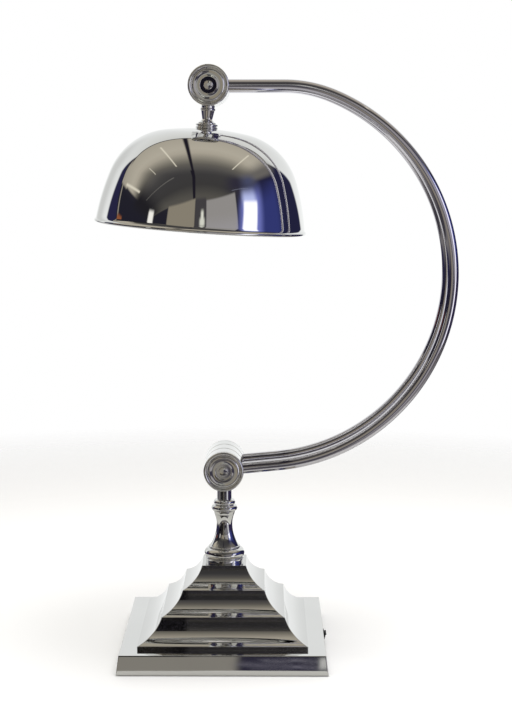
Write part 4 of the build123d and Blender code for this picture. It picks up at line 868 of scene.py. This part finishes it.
class LAMP_OT_holder(bpy.types.Operator):
    """Lamp holder and frosted bulb inside the shade"""

    bl_idname = "lamp.holder"
    bl_label = "Holder and Bulb"

    def execute(self, context):
        sizes = context.scene.lamp_sizes
        cap = [(BORE_R, 50.5), (7.5, 50.5), (7.5, 54.5)]
        cap += bow((7.5, 54.5), (15.0, 56.0), (19.5, 60.5), 16)[1:] + [(19.5, 65.5), (18.5, 65.5)]
        cap += bow((18.5, 60.5), (14.2, 57.0), (7.5, 55.5), 16) + [(BORE_R, 55.5)]
        ribs = []
        for i in range(RIB_COUNT):
            z = RIB_FIRST + i * RIB_PITCH
            ribs += [(19.5, z), (18.9, z + 0.5), (18.9, z + 1.1), (19.5, z + 1.6)]
        body = [(0, 65.5), (19.5, 65.5)] + ribs + [(19.5, 97.5), (14.7, 97.5), (14.7, 70.5), (0, 70.5)]
        globe = bow((12.2, 101.5), (22.5, 120.4), (0, 142.9), 40)
        inner = bow((11.2, 101.8), (21.5, 120.4), (0, 141.9), 32)
        globe = [(12.2, 89.5)] + globe + inner[::-1] + [(11.2, 89.5)]
        specs = (
            ("holder_dome", cap, True, "polished_nickel", "holder_cap", "nickel"),
            ("holder_cup", body, False, "porcelain", "holder_body", "porcelain"),
            ("frosted_globe", globe, True, "frosted_glass", "bulb_globe", "bulb_glass"),
        )
        for name, outline, closed, look, node, slot in specs:
            work = bmesh.new()
            turned(work, softened(outline, 0.25, closed), UPPER_PIN, SHADE_DOWN, sizes.segments, closed)
            new_piece(name, work, look, "shade", node, slot=slot)
        return {"FINISHED"}


class LAMP_OT_switch(bpy.types.Operator):
    """Rocker switch in the right side of the base: bezel with its body, and the rocker"""

    bl_idname = "lamp.switch"
    bl_label = "Rocker Switch"

    def execute(self, context):
        cos, sin = math.cos(SLOPE), math.sin(SLOPE)
        side = axes((SIDE_HALF, 0, SIDE_Z), ACROSS, Vector((cos, 0, sin)))
        body = [(0, 0, -4.0), (5.4, 3.0, -4.0), (5.4, 3.0, 0.45), (5.55, 3.15, 0.7), (5.8, 3.4, 0.8)]
        body += [(6.2, 3.8, 0.8), (6.45, 4.05, 0.68), (6.6, 4.2, 0.4), (6.6, 4.2, 0.0), (5.95, 3.6, 0.0)]
        body += [(5.95, 3.6, -9.0), (0, 0, -9.0)]
        work = bmesh.new()
        boxed(work, body, side, 0.45)
        new_piece("switch_bezel", work, "black_plastic", "base", "switch_housing", slot="black_plastic")
        along = Vector((cos * math.sin(KEY_TILT), math.cos(KEY_TILT), sin * math.sin(KEY_TILT)))
        pin = Vector((sin, 0, -cos))
        key = bow((4.6, 3.4), (0, 2.5), (-4.6, 3.4), 12) + [(-4.6, 0), (-1.8, -2.0), (1.8, -2.0), (4.6, 0)]
        work = bmesh.new()
        prism(work, key[::-1], KEY_HALF, axes(ROCKER_PIN, along, pin), KEY_EDGE)
        rod = [(0, -KEY_PIN_HALF), (KEY_PIN_R, -KEY_PIN_HALF), (KEY_PIN_R, KEY_PIN_HALF), (0, KEY_PIN_HALF)]
        turned(work, rod, ROCKER_PIN, pin, 24, closed=False)
        new_piece("switch_key", work, "black_plastic", "rocker", "switch_rocker", slot="black_plastic")
        return {"FINISHED"}


class LAMP_OT_gland(bpy.types.Operator):
    """Collared cord gland in the back of the base"""

    bl_idname = "lamp.gland"
    bl_label = "Cord Gland"

    def execute(self, context):
        outline = [(3.2, -10.0), (5.6, -10.0), (5.6, 0.0), (8.0, 0.0), (8.0, 0.55)]
        outline += bow((8.0, 0.55), (7.7, 1.15), (7.0, 1.4), 6)[1:]
        outline += [(6.3, 1.4), (6.1, 1.0), (5.5, 1.0), (5.3, 1.4), (4.5, 1.4)]
        outline += bow((4.5, 1.4), (3.6, 0.9), (3.2, -0.2), 6)[1:]
        work = bmesh.new()
        back = Vector((0, math.cos(SLOPE), math.sin(SLOPE)))
        turned(work, softened(outline, 0.12), (0, SIDE_HALF, SIDE_Z), back, 64)
        new_piece("gland_collar", work, "black_plastic", "base", "cord_gland", slot="black_plastic")
        return {"FINISHED"}


class LAMP_OT_cover_screws(bpy.types.Operator):
    """Four cross-recessed pan-head screws that hold the bottom cover"""

    bl_idname = "lamp.cover_screws"
    bl_label = "Cover Screws"

    def execute(self, context):
        screw = self.screw()
        reach = (-SCREW_REACH * MM, SCREW_REACH * MM)
        corners = [(x, y, SCREW_SEAT * MM) for x in reach for y in reach]
        tree = scatter_tree(material_named("zinc_steel"))
        mesh = grown("pan_head_screws", points_object("screw_places", corners), tree, {"Pattern": screw})
        bpy.data.objects.remove(screw)
        new_piece("pan_head_screws", mesh, "zinc_steel", "base", "cover_screws", slot="zinc_steel")
        return {"FINISHED"}

    @staticmethod
    def screw():
        """One screw, head down, with a cross recess cut in its head."""
        outline = bow((0, SCREW_TOP), (1.8, -1.02), (2.9, -0.4), 8)
        outline += [(2.9, 0), (1.5, 0), (1.5, 10.4), (0, 10.4)]
        work, cutter = bmesh.new(), bmesh.new()
        turned(work, outline, ORIGIN, UP, 32, closed=False)
        arm, half = RECESS_ARM, RECESS_HALF
        quarter = [(arm, half), (half, half), (half, arm)]
        cross = quarter + [(-x, y) for x, y in quarter[::-1]]
        cross += [(-x, -y) for x, y in quarter] + [(x, -y) for x, y in quarter[::-1]]
        prism(cutter, cross, RECESS_DEPTH, Matrix.Translation((0, 0, SCREW_TOP)), 0)
        screw = placed("screw", mesh_of("screw", work))
        recess = placed("recess", mesh_of("recess", cutter))
        cut = screw.modifiers.new("recess", "BOOLEAN")
        cut.operation, cut.solver, cut.object = "DIFFERENCE", "EXACT", recess
        depsgraph = bpy.context.evaluated_depsgraph_get()
        finished = bpy.data.meshes.new_from_object(screw.evaluated_get(depsgraph), depsgraph=depsgraph)
        screw.modifiers.remove(cut)
        screw.data = finished
        bpy.data.objects.remove(recess)
        return screw


class LAMP_OT_inner_parts(bpy.types.Operator):
    """Finishes for the CAD nodes that stay as they are"""

    bl_idname = "lamp.inner_parts"
    bl_label = "Inner Parts"

    def execute(self, context):
        looks = {
            "zinc_steel": ("bottom_cover threaded_rod rod_washer rod_nut gland_nut "
                           "swivel_stop_screw shade_nipple shade_nut terminal_screws").split(),
            "cast_iron": ["ballast_plate"],
            "dull_brass": "holder_shell centre_contact bulb_base switch_blades swivel_washer".split(),
            "black_felt": ["felt_pad"],
            "nylon": ["terminal_block", "tube_bushes"],
            "wire": "column_lead arm_lead shade_lead switch_leads".split(),
        }
        for look, names in looks.items():
            for name in names:
                mesh = frame["nodes"][name].data
                mesh.materials.clear()
                mesh.materials.append(material_named(look))
        return {"FINISHED"}


# What the metal mirrors, by direction. Azimuth 0 is behind the camera and 90 to its right, height 0 is level.
STUDIO_ROOM = (
    (-90, (0.80, 0.80, 0.79)),
    (-60, (0.56, 0.55, 0.54)),
    (-38, (0.29, 0.28, 0.28)),
    (-28, (0.14, 0.13, 0.13)),
    (-22, (0.050, 0.047, 0.056)),
    (-17, (0.050, 0.047, 0.056)),
    (-14.5, (0.22, 0.21, 0.20)),
    (-9, (0.10, 0.095, 0.105)),
    (-6, (0.026, 0.024, 0.044)),
    (4, (0.015, 0.014, 0.026)),
    (20, (0.018, 0.0175, 0.027)),
    (30, (0.040, 0.037, 0.050)),
    (60, (0.050, 0.046, 0.060)),
)
# The ceiling lies in a level plane: tones from behind the lamp to far behind the camera
STUDIO_CEILING = (
    (-0.70, (0.42, 0.385, 0.315)),
    (-0.10, (0.49, 0.45, 0.37)),
    (0.07, (0.45, 0.41, 0.335)),
    (0.22, (0.325, 0.298, 0.245)),
    (0.38, (0.205, 0.190, 0.158)),
    (0.52, (0.130, 0.121, 0.106)),
    (0.68, (0.095, 0.090, 0.085)),
    (0.83, (0.068, 0.065, 0.064)),
    (1.00, (0.053, 0.051, 0.052)),
    (1.40, (0.049, 0.047, 0.047)),
    (1.75, (0.092, 0.087, 0.077)),
    (1.96, (0.105, 0.098, 0.086)),
)
STUDIO_BACKDROP = (
    (-90, (0.95, 0.96, 0.96)),
    (0, (0.97, 0.985, 0.98)),
    (10, (0.87, 0.885, 0.88)),
    (24, (0.81, 0.825, 0.82)),
    (42, (0.74, 0.75, 0.73)),
    (56, (0.66, 0.66, 0.64)),
)
# Each card: middle, half sizes and softness, across and upwards, lean and slope of its edges if any, colour
BACKDROP_CARDS = {
    "navy far": (112, 8, 50, 24, 4, 2.5, 0.0, -0.2, (0.018, 0.018, 0.052)),
    "navy near": (86, 10, 18, 11, 8, 6, (0.036, 0.045, 0.190)),
    "navy left": (-125, 12, 20, 24, 1.2, 3, -0.94, 0.0, (0.022, 0.021, 0.062)),
    "sweep left": (-146, -38, 24, 30, 6, 5, (0.52, 0.51, 0.50)),
    "backdrop right": (184, 0, 36, 70, 2.2, 2.2, -0.75, 0.0, STUDIO_BACKDROP),
    "backdrop left": (206, 0, 31, 70, 1.8, 2.2, STUDIO_BACKDROP),
    "backdrop left edge": (213, 10, 12, 18, 8, 8, (0.66, 0.67, 0.66)),
    "navy low left": (-134, -9, 17, 5.5, 3, 2.5, (0.032, 0.028, 0.055)),
    "navy low right": (108, -12, 44, 9, 6, 4, (0.030, 0.024, 0.062)),
    "sweep low left": (215, -42, 20, 26, 8, 6, (0.55, 0.545, 0.53)),
}
CEILING_CARDS = {
    "ceiling left corner": (-1.60, -0.50, 0.86, 0.30, 0.08, 0.02, 0.0, 0.27, STUDIO_CEILING),
    "ceiling": (-0.49, 0.64, 1.91, 1.32, 0.07, 0.03, STUDIO_CEILING),
    "ceiling right dim": (1.45, 0.0, 0.36, 0.75, 0.28, 0.40, (0.15, 0.14, 0.13)),
    "ceiling right dark": (1.42, 1.10, 0.50, 0.28, 0.30, 0.26, (0.032, 0.029, 0.048)),
    "corner shade": (-2.35, 1.2, 0.52, 0.75, 0.50, 0.22, (0.017, 0.016, 0.020)),
    "dark strip": (-0.1, -0.68, 1.3, 0.022, 0.25, 0.014, (0.060, 0.055, 0.060)),
    "dark beam": (-0.152, 0.10, 0.026, 0.77, 0.014, 0.04, (0.014, 0.012, 0.020)),
    "dark beam near": (-0.165, 1.36, 0.046, 0.56, 0.018, 0.06, (0.014, 0.012, 0.020)),
    "light strip left": (-0.49, 0.085, 0.013, 0.47, 0.014, 0.02, 0.035, 0.0, (0.78, 0.73, 0.60)),
    "light strip middle": (-1.19, 0.40, 0.018, 0.21, 0.018, 0.02, -0.18, 0.0, (0.62, 0.58, 0.48)),
    "light strip far": (-2.20, -0.04, 0.045, 0.50, 0.05, 0.03, 0.27, 0.0, (0.80, 0.75, 0.62)),
    "light strip right": (0.69, 0.075, 0.013, 0.43, 0.014, 0.02, 0.027, 0.0, (0.78, 0.73, 0.60)),
    "thin line": (-1.40, 1.01, 0.66, 0.008, 0.02, 0.014, 0.0, 0.06, (0.20, 0.19, 0.175)),
    "slant line": (1.50, 1.14, 0.30, 0.010, 0.03, 0.016, 0.0, -0.77, (0.20, 0.21, 0.27)),
}
STUDIO_CARDS = {
    "tall panel left": (-19, 0, 15.5, 25.7, 0.8, 0.8, 0.0, 0.15, (0.275, 0.245, 0.190)),
    "tall panel right": (27, 0, 17.6, 27.0, 0.9, 0.7, 0.0, 0.02, (0.315, 0.300, 0.290)),
    "tall panel low": (27, -4, 17.6, 18.0, 0.9, 6.0, (0.36, 0.345, 0.36)),
    "floor patch": (14.5, -9, 16, 4.2, 0.3, 1.0, (0.046, 0.042, 0.062)),
    "low panel": (-9.85, -3, 8.85, 10.0, 0.25, 2.0, 0.055, 0.0, (0.255, 0.241, 0.212)),
    "streak high": (0.9, -3.73, 1.0, 0.026, 0.3, 0.03, 0.0, 0.012, (0.30, 0.29, 0.34)),
    "streak low": (0.5, -3.95, 1.5, 0.035, 0.4, 0.04, 0.0, -0.015, (0.22, 0.21, 0.26)),
    "low panel end": (2.3, -3.8, 0.34, 0.24, 0.12, 0.10, (0.56, 0.56, 0.54)),
    "dark panel": (3, 20, 6.1, 8, 0.9, 1.2, (0.060, 0.056, 0.060)),
    "pale panel": (1.8, 5, 6.2, 4.4, 1.2, 1.4, (0.34, 0.34, 0.32)),
    "soft light top": (4.9, 18.0, 1.3, 3.6, 1.3, 1.6, (0.86, 0.87, 0.76)),
    "soft light middle": (4.8, 15.6, 2.6, 2.0, 1.5, 1.4, (0.74, 0.75, 0.66)),
    "soft light foot": (1.8, 11.6, 4.2, 0.8, 1.2, 0.8, 0.0, 0.10, (0.40, 0.41, 0.36)),
    "haze": (66, 30, 9, 5, 9, 8, (0.070, 0.080, 0.155)),
    "halo": (61, 12, 14, 11, 6, 5, 0.3, 0.0, (0.190, 0.215, 0.600)),
    "glow": (62, 21, 8.5, 3.6, 4, 3.5, 0.0, -0.15, (0.56, 0.62, 0.98)),
    "bright pane": (55.3, 0, 9.0, 21.6, 1.5, 1.2, 0.38, -0.15, (1.25, 1.25, 1.36)),
    "edge left": (-108.5, 20, 0.9, 8, 0.9, 1.5, -0.80, 0.0, (0.36, 0.33, 0.27)),
    "soft light left": (-54.5, 12.5, 3.1, 7.6, 1.1, 1.2, (1.0, 0.98, 0.92)),
    "brown patch": (-98.5, 9.5, 4.0, 3.2, 0.8, 0.8, (0.30, 0.10, 0.04)),
}


# Table, dark card, light and camera, in metres
TABLE_REACH, TABLE_FADE, TABLE_OVAL, TABLE_SOFT = 1.5, (0.8, 1.4), 0.35, 0.94
CARD_FOOT, CARD_HEAD, CARD_HALF = (-0.300, 0.010), (-0.140, 0.168), 0.60
CARD_SPLIT, CARD_LEFT, CARD_RIGHT = (-0.050, -0.043), 0.95, 0.50
LIGHT_PLACE, LIGHT_WIDTH = (0.1, -0.2, 1.9), 1.6
CAMERA_PLACE, CAMERA_DOWN, CAMERA_TURN = (0.04446, -1.7138, 0.5570), math.radians(7.696), math.radians(0.297)


class LAMP_OT_stage(bpy.types.Operator):
    """Pale table, soft light, studio surroundings and the camera"""

    bl_idname = "lamp.stage"
    bl_label = "Stage"

    COORDINATES = ("Across", "Up")
    SIZES = (
        "Middle Across", "Middle Up", "Half Across", "Half Up", "Soft Across", "Soft Up", "Lean", "Slope",
    )

    def execute(self, context):
        studio = context.scene.lamp_studio
        self.table(studio)
        self.dark_card()
        self.world(context)
        self.light(studio)
        self.camera(context, studio)
        return {"FINISHED"}

    @staticmethod
    def table(studio):
        """Round pale table top that fades out at its edge, and sooner in reflections, where it is also
        painted darker.
        """
        work = bmesh.new()
        bmesh.ops.create_circle(work, cap_ends=True, segments=128, radius=TABLE_REACH)
        mesh = bpy.data.meshes.new("table_top")
        work.to_mesh(mesh)
        work.free()
        table = placed("table_top", mesh)
        material, nodes, links, shader, place = new_material("pale_table")
        shader.inputs["Roughness"].default_value = 0.9
        shader.inputs["Specular IOR Level"].default_value = 0.1
        flat = nodes.new("ShaderNodeMapping")
        flat.inputs["Scale"].default_value = (TABLE_OVAL, 1, 1)
        links.new(place, flat.inputs["Vector"])
        lengths = []
        for vector in (place, flat.outputs["Vector"]):
            reach = nodes.new("ShaderNodeVectorMath")
            reach.operation = "LENGTH"
            links.new(vector, reach.inputs[0])
            lengths.append(reach.outputs["Value"])
        wide = span(nodes, links, lengths[0], 1.0, 0.0, TABLE_FADE)
        radius = studio.table_radius
        near = span(nodes, links, lengths[1], 1.0, 0.0, (TABLE_SOFT * radius, radius))
        path = nodes.new("ShaderNodeLightPath")
        choice = nodes.new("ShaderNodeMix")
        links.new(path.outputs["Is Glossy Ray"], choice.inputs["Factor"])
        links.new(wide, choice.inputs["A"])
        links.new(near, choice.inputs["B"])
        links.new(choice.outputs["Result"], shader.inputs["Alpha"])
        # Painted reflection: the table is darker where the metal mirrors it than where the camera sees it
        dim = tinted(nodes, links, path.outputs["Is Glossy Ray"], (0.92, 0.92, 0.92), (0.50, 0.50, 0.475))
        links.new(dim, shader.inputs["Base Color"])
        mesh.materials.append(material)

    @staticmethod
    def dark_card():
        """Plain dark card that leans over the front of the table; only reflections show it, as painted dark
        reflections in the base, more opaque on its left.
        """
        work = bmesh.new()
        corners = [(x, *place) for place in (CARD_FOOT, CARD_HEAD) for x in (-CARD_HALF, CARD_HALF)]
        a, b, c, d = (work.verts.new(corner) for corner in corners)
        work.faces.new((a, b, d, c))
        mesh = bpy.data.meshes.new("dark_card")
        work.to_mesh(mesh)
        work.free()
        card = placed("dark_card", mesh)
        material, nodes, links, shader, place = new_material("dark_reflection_card")
        weave = noise(nodes, links, place, 900.0)
        cloth = tinted(nodes, links, weave, (0.011, 0.010, 0.013), (0.013, 0.012, 0.015))
        links.new(cloth, shader.inputs["Base Color"])
        shader.inputs["Roughness"].default_value = 1.0
        shader.inputs["Specular IOR Level"].default_value = 0.0
        split = nodes.new("ShaderNodeSeparateXYZ")
        links.new(place, split.inputs["Vector"])
        # Painted reflection: the card is denser on the left, so the base mirrors more darkness there
        reflected_dark_share = span(nodes, links, split.outputs["X"], CARD_LEFT, CARD_RIGHT, CARD_SPLIT)
        links.new(reflected_dark_share, shader.inputs["Alpha"])
        mesh.materials.append(material)
        card.visible_camera = card.visible_diffuse = card.visible_shadow = False

    @classmethod
    def card_group(cls):
        """Shader group that lays one soft-edged card over the colour behind it."""
        group = bpy.data.node_groups.new("Studio Card", "ShaderNodeTree")
        for label in cls.COORDINATES + cls.SIZES:
            group.interface.new_socket(label, in_out="INPUT", socket_type="NodeSocketFloat")
        for label in ("Card", "Behind"):
            group.interface.new_socket(label, in_out="INPUT", socket_type="NodeSocketColor")
        group.interface.new_socket("Color", in_out="OUTPUT", socket_type="NodeSocketColor")
        nodes, links = group.nodes, group.links
        start, end = nodes.new("NodeGroupInput"), nodes.new("NodeGroupOutput")

        def math_node(operation, *values):
            node = nodes.new("ShaderNodeMath")
            node.operation = operation
            for socket, value in zip(node.inputs, values):
                if isinstance(value, bpy.types.NodeSocket):
                    links.new(value, socket)
                else:
                    socket.default_value = value
            return node.outputs[0]

        rise = math_node("SUBTRACT", start.outputs["Up"], start.outputs["Middle Up"])
        run = math_node("SUBTRACT", start.outputs["Across"], start.outputs["Middle Across"])
        run = math_node("WRAP", run, 180.0, -180.0)
        aside = math_node("SUBTRACT", run, math_node("MULTIPLY", rise, start.outputs["Lean"]))
        up = math_node("SUBTRACT", rise, math_node("MULTIPLY", run, start.outputs["Slope"]))
        masks = []
        for offset, way in ((aside, "Across"), (up, "Up")):
            beyond = math_node("SUBTRACT", math_node("ABSOLUTE", offset), start.outputs["Half " + way])
            share = math_node("DIVIDE", beyond, start.outputs["Soft " + way])
            fade = nodes.new("ShaderNodeMapRange")
            fade.interpolation_type = "SMOOTHSTEP"
            fade.inputs["From Min"].default_value, fade.inputs["From Max"].default_value = 1.0, -1.0
            links.new(share, fade.inputs["Value"])
            masks.append(fade.outputs["Result"])
        blend = nodes.new("ShaderNodeMix")
        blend.data_type = "RGBA"
        links.new(math_node("MULTIPLY", *masks), blend.inputs["Factor"])
        links.new(start.outputs["Behind"], blend.inputs["A"])
        links.new(start.outputs["Card"], blend.inputs["B"])
        links.new(blend.outputs["Result"], end.inputs["Color"])
        return group

    @classmethod
    def world(cls, context):
        """Surroundings: plain white for the camera, the studio's cards for everything else."""
        world = bpy.data.worlds.new("studio")
        world.use_nodes = True
        nodes, links = world.node_tree.nodes, world.node_tree.links
        place = nodes.new("ShaderNodeTexCoord")
        split = nodes.new("ShaderNodeSeparateXYZ")
        links.new(place.outputs["Generated"], split.inputs["Vector"])

        def angle(operation, *inputs):
            turn, degrees = nodes.new("ShaderNodeMath"), nodes.new("ShaderNodeMath")
            turn.operation, degrees.operation = operation, "DEGREES"
            for socket, value in zip(turn.inputs, inputs):
                links.new(value, socket)
            links.new(turn.outputs[0], degrees.inputs[0])
            return degrees.outputs[0]

        def toned(value, low, high, stops):
            """Colour by the value, between a low and a high end."""
            ramp = nodes.new("ShaderNodeValToRGB")
            elements = ramp.color_ramp.elements
            while len(elements) < len(stops):
                elements.new(0.5)
            for element, (stop, _) in zip(elements, stops):
                element.position = (stop - low) / (high - low)
            for element, (_, colour) in zip(elements, stops):
                element.color = (*colour, 1)
            links.new(span(nodes, links, value, 0.0, 1.0, (low, high)), ramp.inputs["Fac"])
            return ramp.outputs["Color"]

        def on_ceiling(offset):
            """Place in the level plane above the lamp, one unit up."""
            node = nodes.new("ShaderNodeMath")
            node.operation = "DIVIDE"
            links.new(offset, node.inputs[0])
            links.new(above.outputs[0], node.inputs[1])
            return node.outputs[0]

        def laid(colour, cards, across, up, low, high):
            """The colour with a dictionary of cards laid over it."""
            for *values, paint in cards.values():
                node = nodes.new("ShaderNodeGroup")
                node.node_tree = group
                links.new(across, node.inputs["Across"])
                links.new(up, node.inputs["Up"])
                for label, value in zip(cls.SIZES, values):
                    node.inputs[label].default_value = value
                if isinstance(paint[0], tuple):
                    links.new(toned(up, low, high, paint), node.inputs["Card"])
                else:
                    node.inputs["Card"].default_value = (*paint, 1)
                links.new(colour, node.inputs["Behind"])
                colour = node.outputs["Color"]
            return colour

        toward, above = nodes.new("ShaderNodeMath"), nodes.new("ShaderNodeMath")
        toward.operation, above.operation = "MULTIPLY", "MAXIMUM"
        toward.inputs[1].default_value = -1.0
        above.inputs[1].default_value = 0.02
        links.new(split.outputs["Y"], toward.inputs[0])
        links.new(split.outputs["Z"], above.inputs[0])
        azimuth = angle("ARCTAN2", split.outputs["X"], toward.outputs[0])
        height = angle("ARCSINE", split.outputs["Z"])
        group = cls.card_group()
        colour = toned(height, -90, 90, STUDIO_ROOM)
        beside, before = on_ceiling(split.outputs["X"]), on_ceiling(toward.outputs[0])
        colour = laid(colour, BACKDROP_CARDS, azimuth, height, -90, 90)
        colour = laid(colour, CEILING_CARDS, beside, before, -2, 2)
        colour = laid(colour, STUDIO_CARDS, azimuth, height, -90, 90)
        path = nodes.new("ShaderNodeLightPath")
        choice = nodes.new("ShaderNodeMix")
        choice.data_type = "RGBA"
        choice.inputs["B"].default_value = (1, 1, 1, 1)
        links.new(path.outputs["Is Camera Ray"], choice.inputs["Factor"])
        links.new(colour, choice.inputs["A"])
        links.new(choice.outputs["Result"], nodes["Background"].inputs["Color"])
        context.scene.world = world

    @staticmethod
    def light(studio):
        """Large soft light above the lamp, which lights the table and isn't seen in the metal."""
        data = bpy.data.lights.new("overhead", "AREA")
        data.shape = "DISK"
        data.size = LIGHT_WIDTH
        data.energy = studio.overhead_light
        light = placed("overhead", data)
        light.location = LIGHT_PLACE
        light.visible_glossy = False

    @staticmethod
    def camera(context, studio):
        """Camera at the photograph's viewing angle."""
        data = bpy.data.cameras.new("camera")
        data.lens = studio.lens
        data.sensor_width = 36.0
        camera = placed("camera", data)
        camera.location = CAMERA_PLACE
        camera.rotation_euler = (math.pi / 2 - CAMERA_DOWN, 0, CAMERA_TURN)
        context.scene.camera = camera
        context.scene.view_settings.view_transform = "Standard"


class LAMP_PT_sidebar(bpy.types.Panel):
    """Sizes, finishes and steps of the table lamp"""

    bl_idname = "LAMP_PT_sidebar"
    bl_label = "Table Lamp"
    bl_space_type = "VIEW_3D"
    bl_region_type = "UI"
    bl_category = "Table Lamp"

    def draw(self, context):
        scene = context.scene
        for group in (scene.lamp_sizes, scene.lamp_finish, scene.lamp_studio):
            box = self.layout.box()
            for name in group.__annotations__:
                box.prop(group, name)
        for step in STEPS:
            self.layout.operator(step.bl_idname)


STEPS = (
    LAMP_OT_base_plate,
    LAMP_OT_pyramid,
    LAMP_OT_column,
    LAMP_OT_turret,
    LAMP_OT_knuckles,
    LAMP_OT_arm_tubes,
    LAMP_OT_shade_hub,
    LAMP_OT_shade,
    LAMP_OT_holder,
    LAMP_OT_switch,
    LAMP_OT_gland,
    LAMP_OT_cover_screws,
    LAMP_OT_inner_parts,
    LAMP_OT_stage,
)
GROUPS = {"lamp_sizes": LampSizes, "lamp_finish": LampFinish, "lamp_studio": LampStudio}


def register():
    for group in GROUPS.values():
        bpy.utils.register_class(group)
    for step in STEPS:
        bpy.utils.register_class(step)
    bpy.utils.register_class(LAMP_PT_sidebar)
    for name, group in GROUPS.items():
        setattr(bpy.types.Scene, name, PointerProperty(type=group))


def unregister():
    for name in GROUPS:
        delattr(bpy.types.Scene, name)
    bpy.utils.unregister_class(LAMP_PT_sidebar)
    for step in reversed(STEPS):
        bpy.utils.unregister_class(step)
    for group in GROUPS.values():
        bpy.utils.unregister_class(group)


def main():
    register()
    for step in STEPS:
        name = step.bl_idname.split(".")[1]
        getattr(bpy.ops.lamp, name)()


if __name__ == "__main__":
    main()
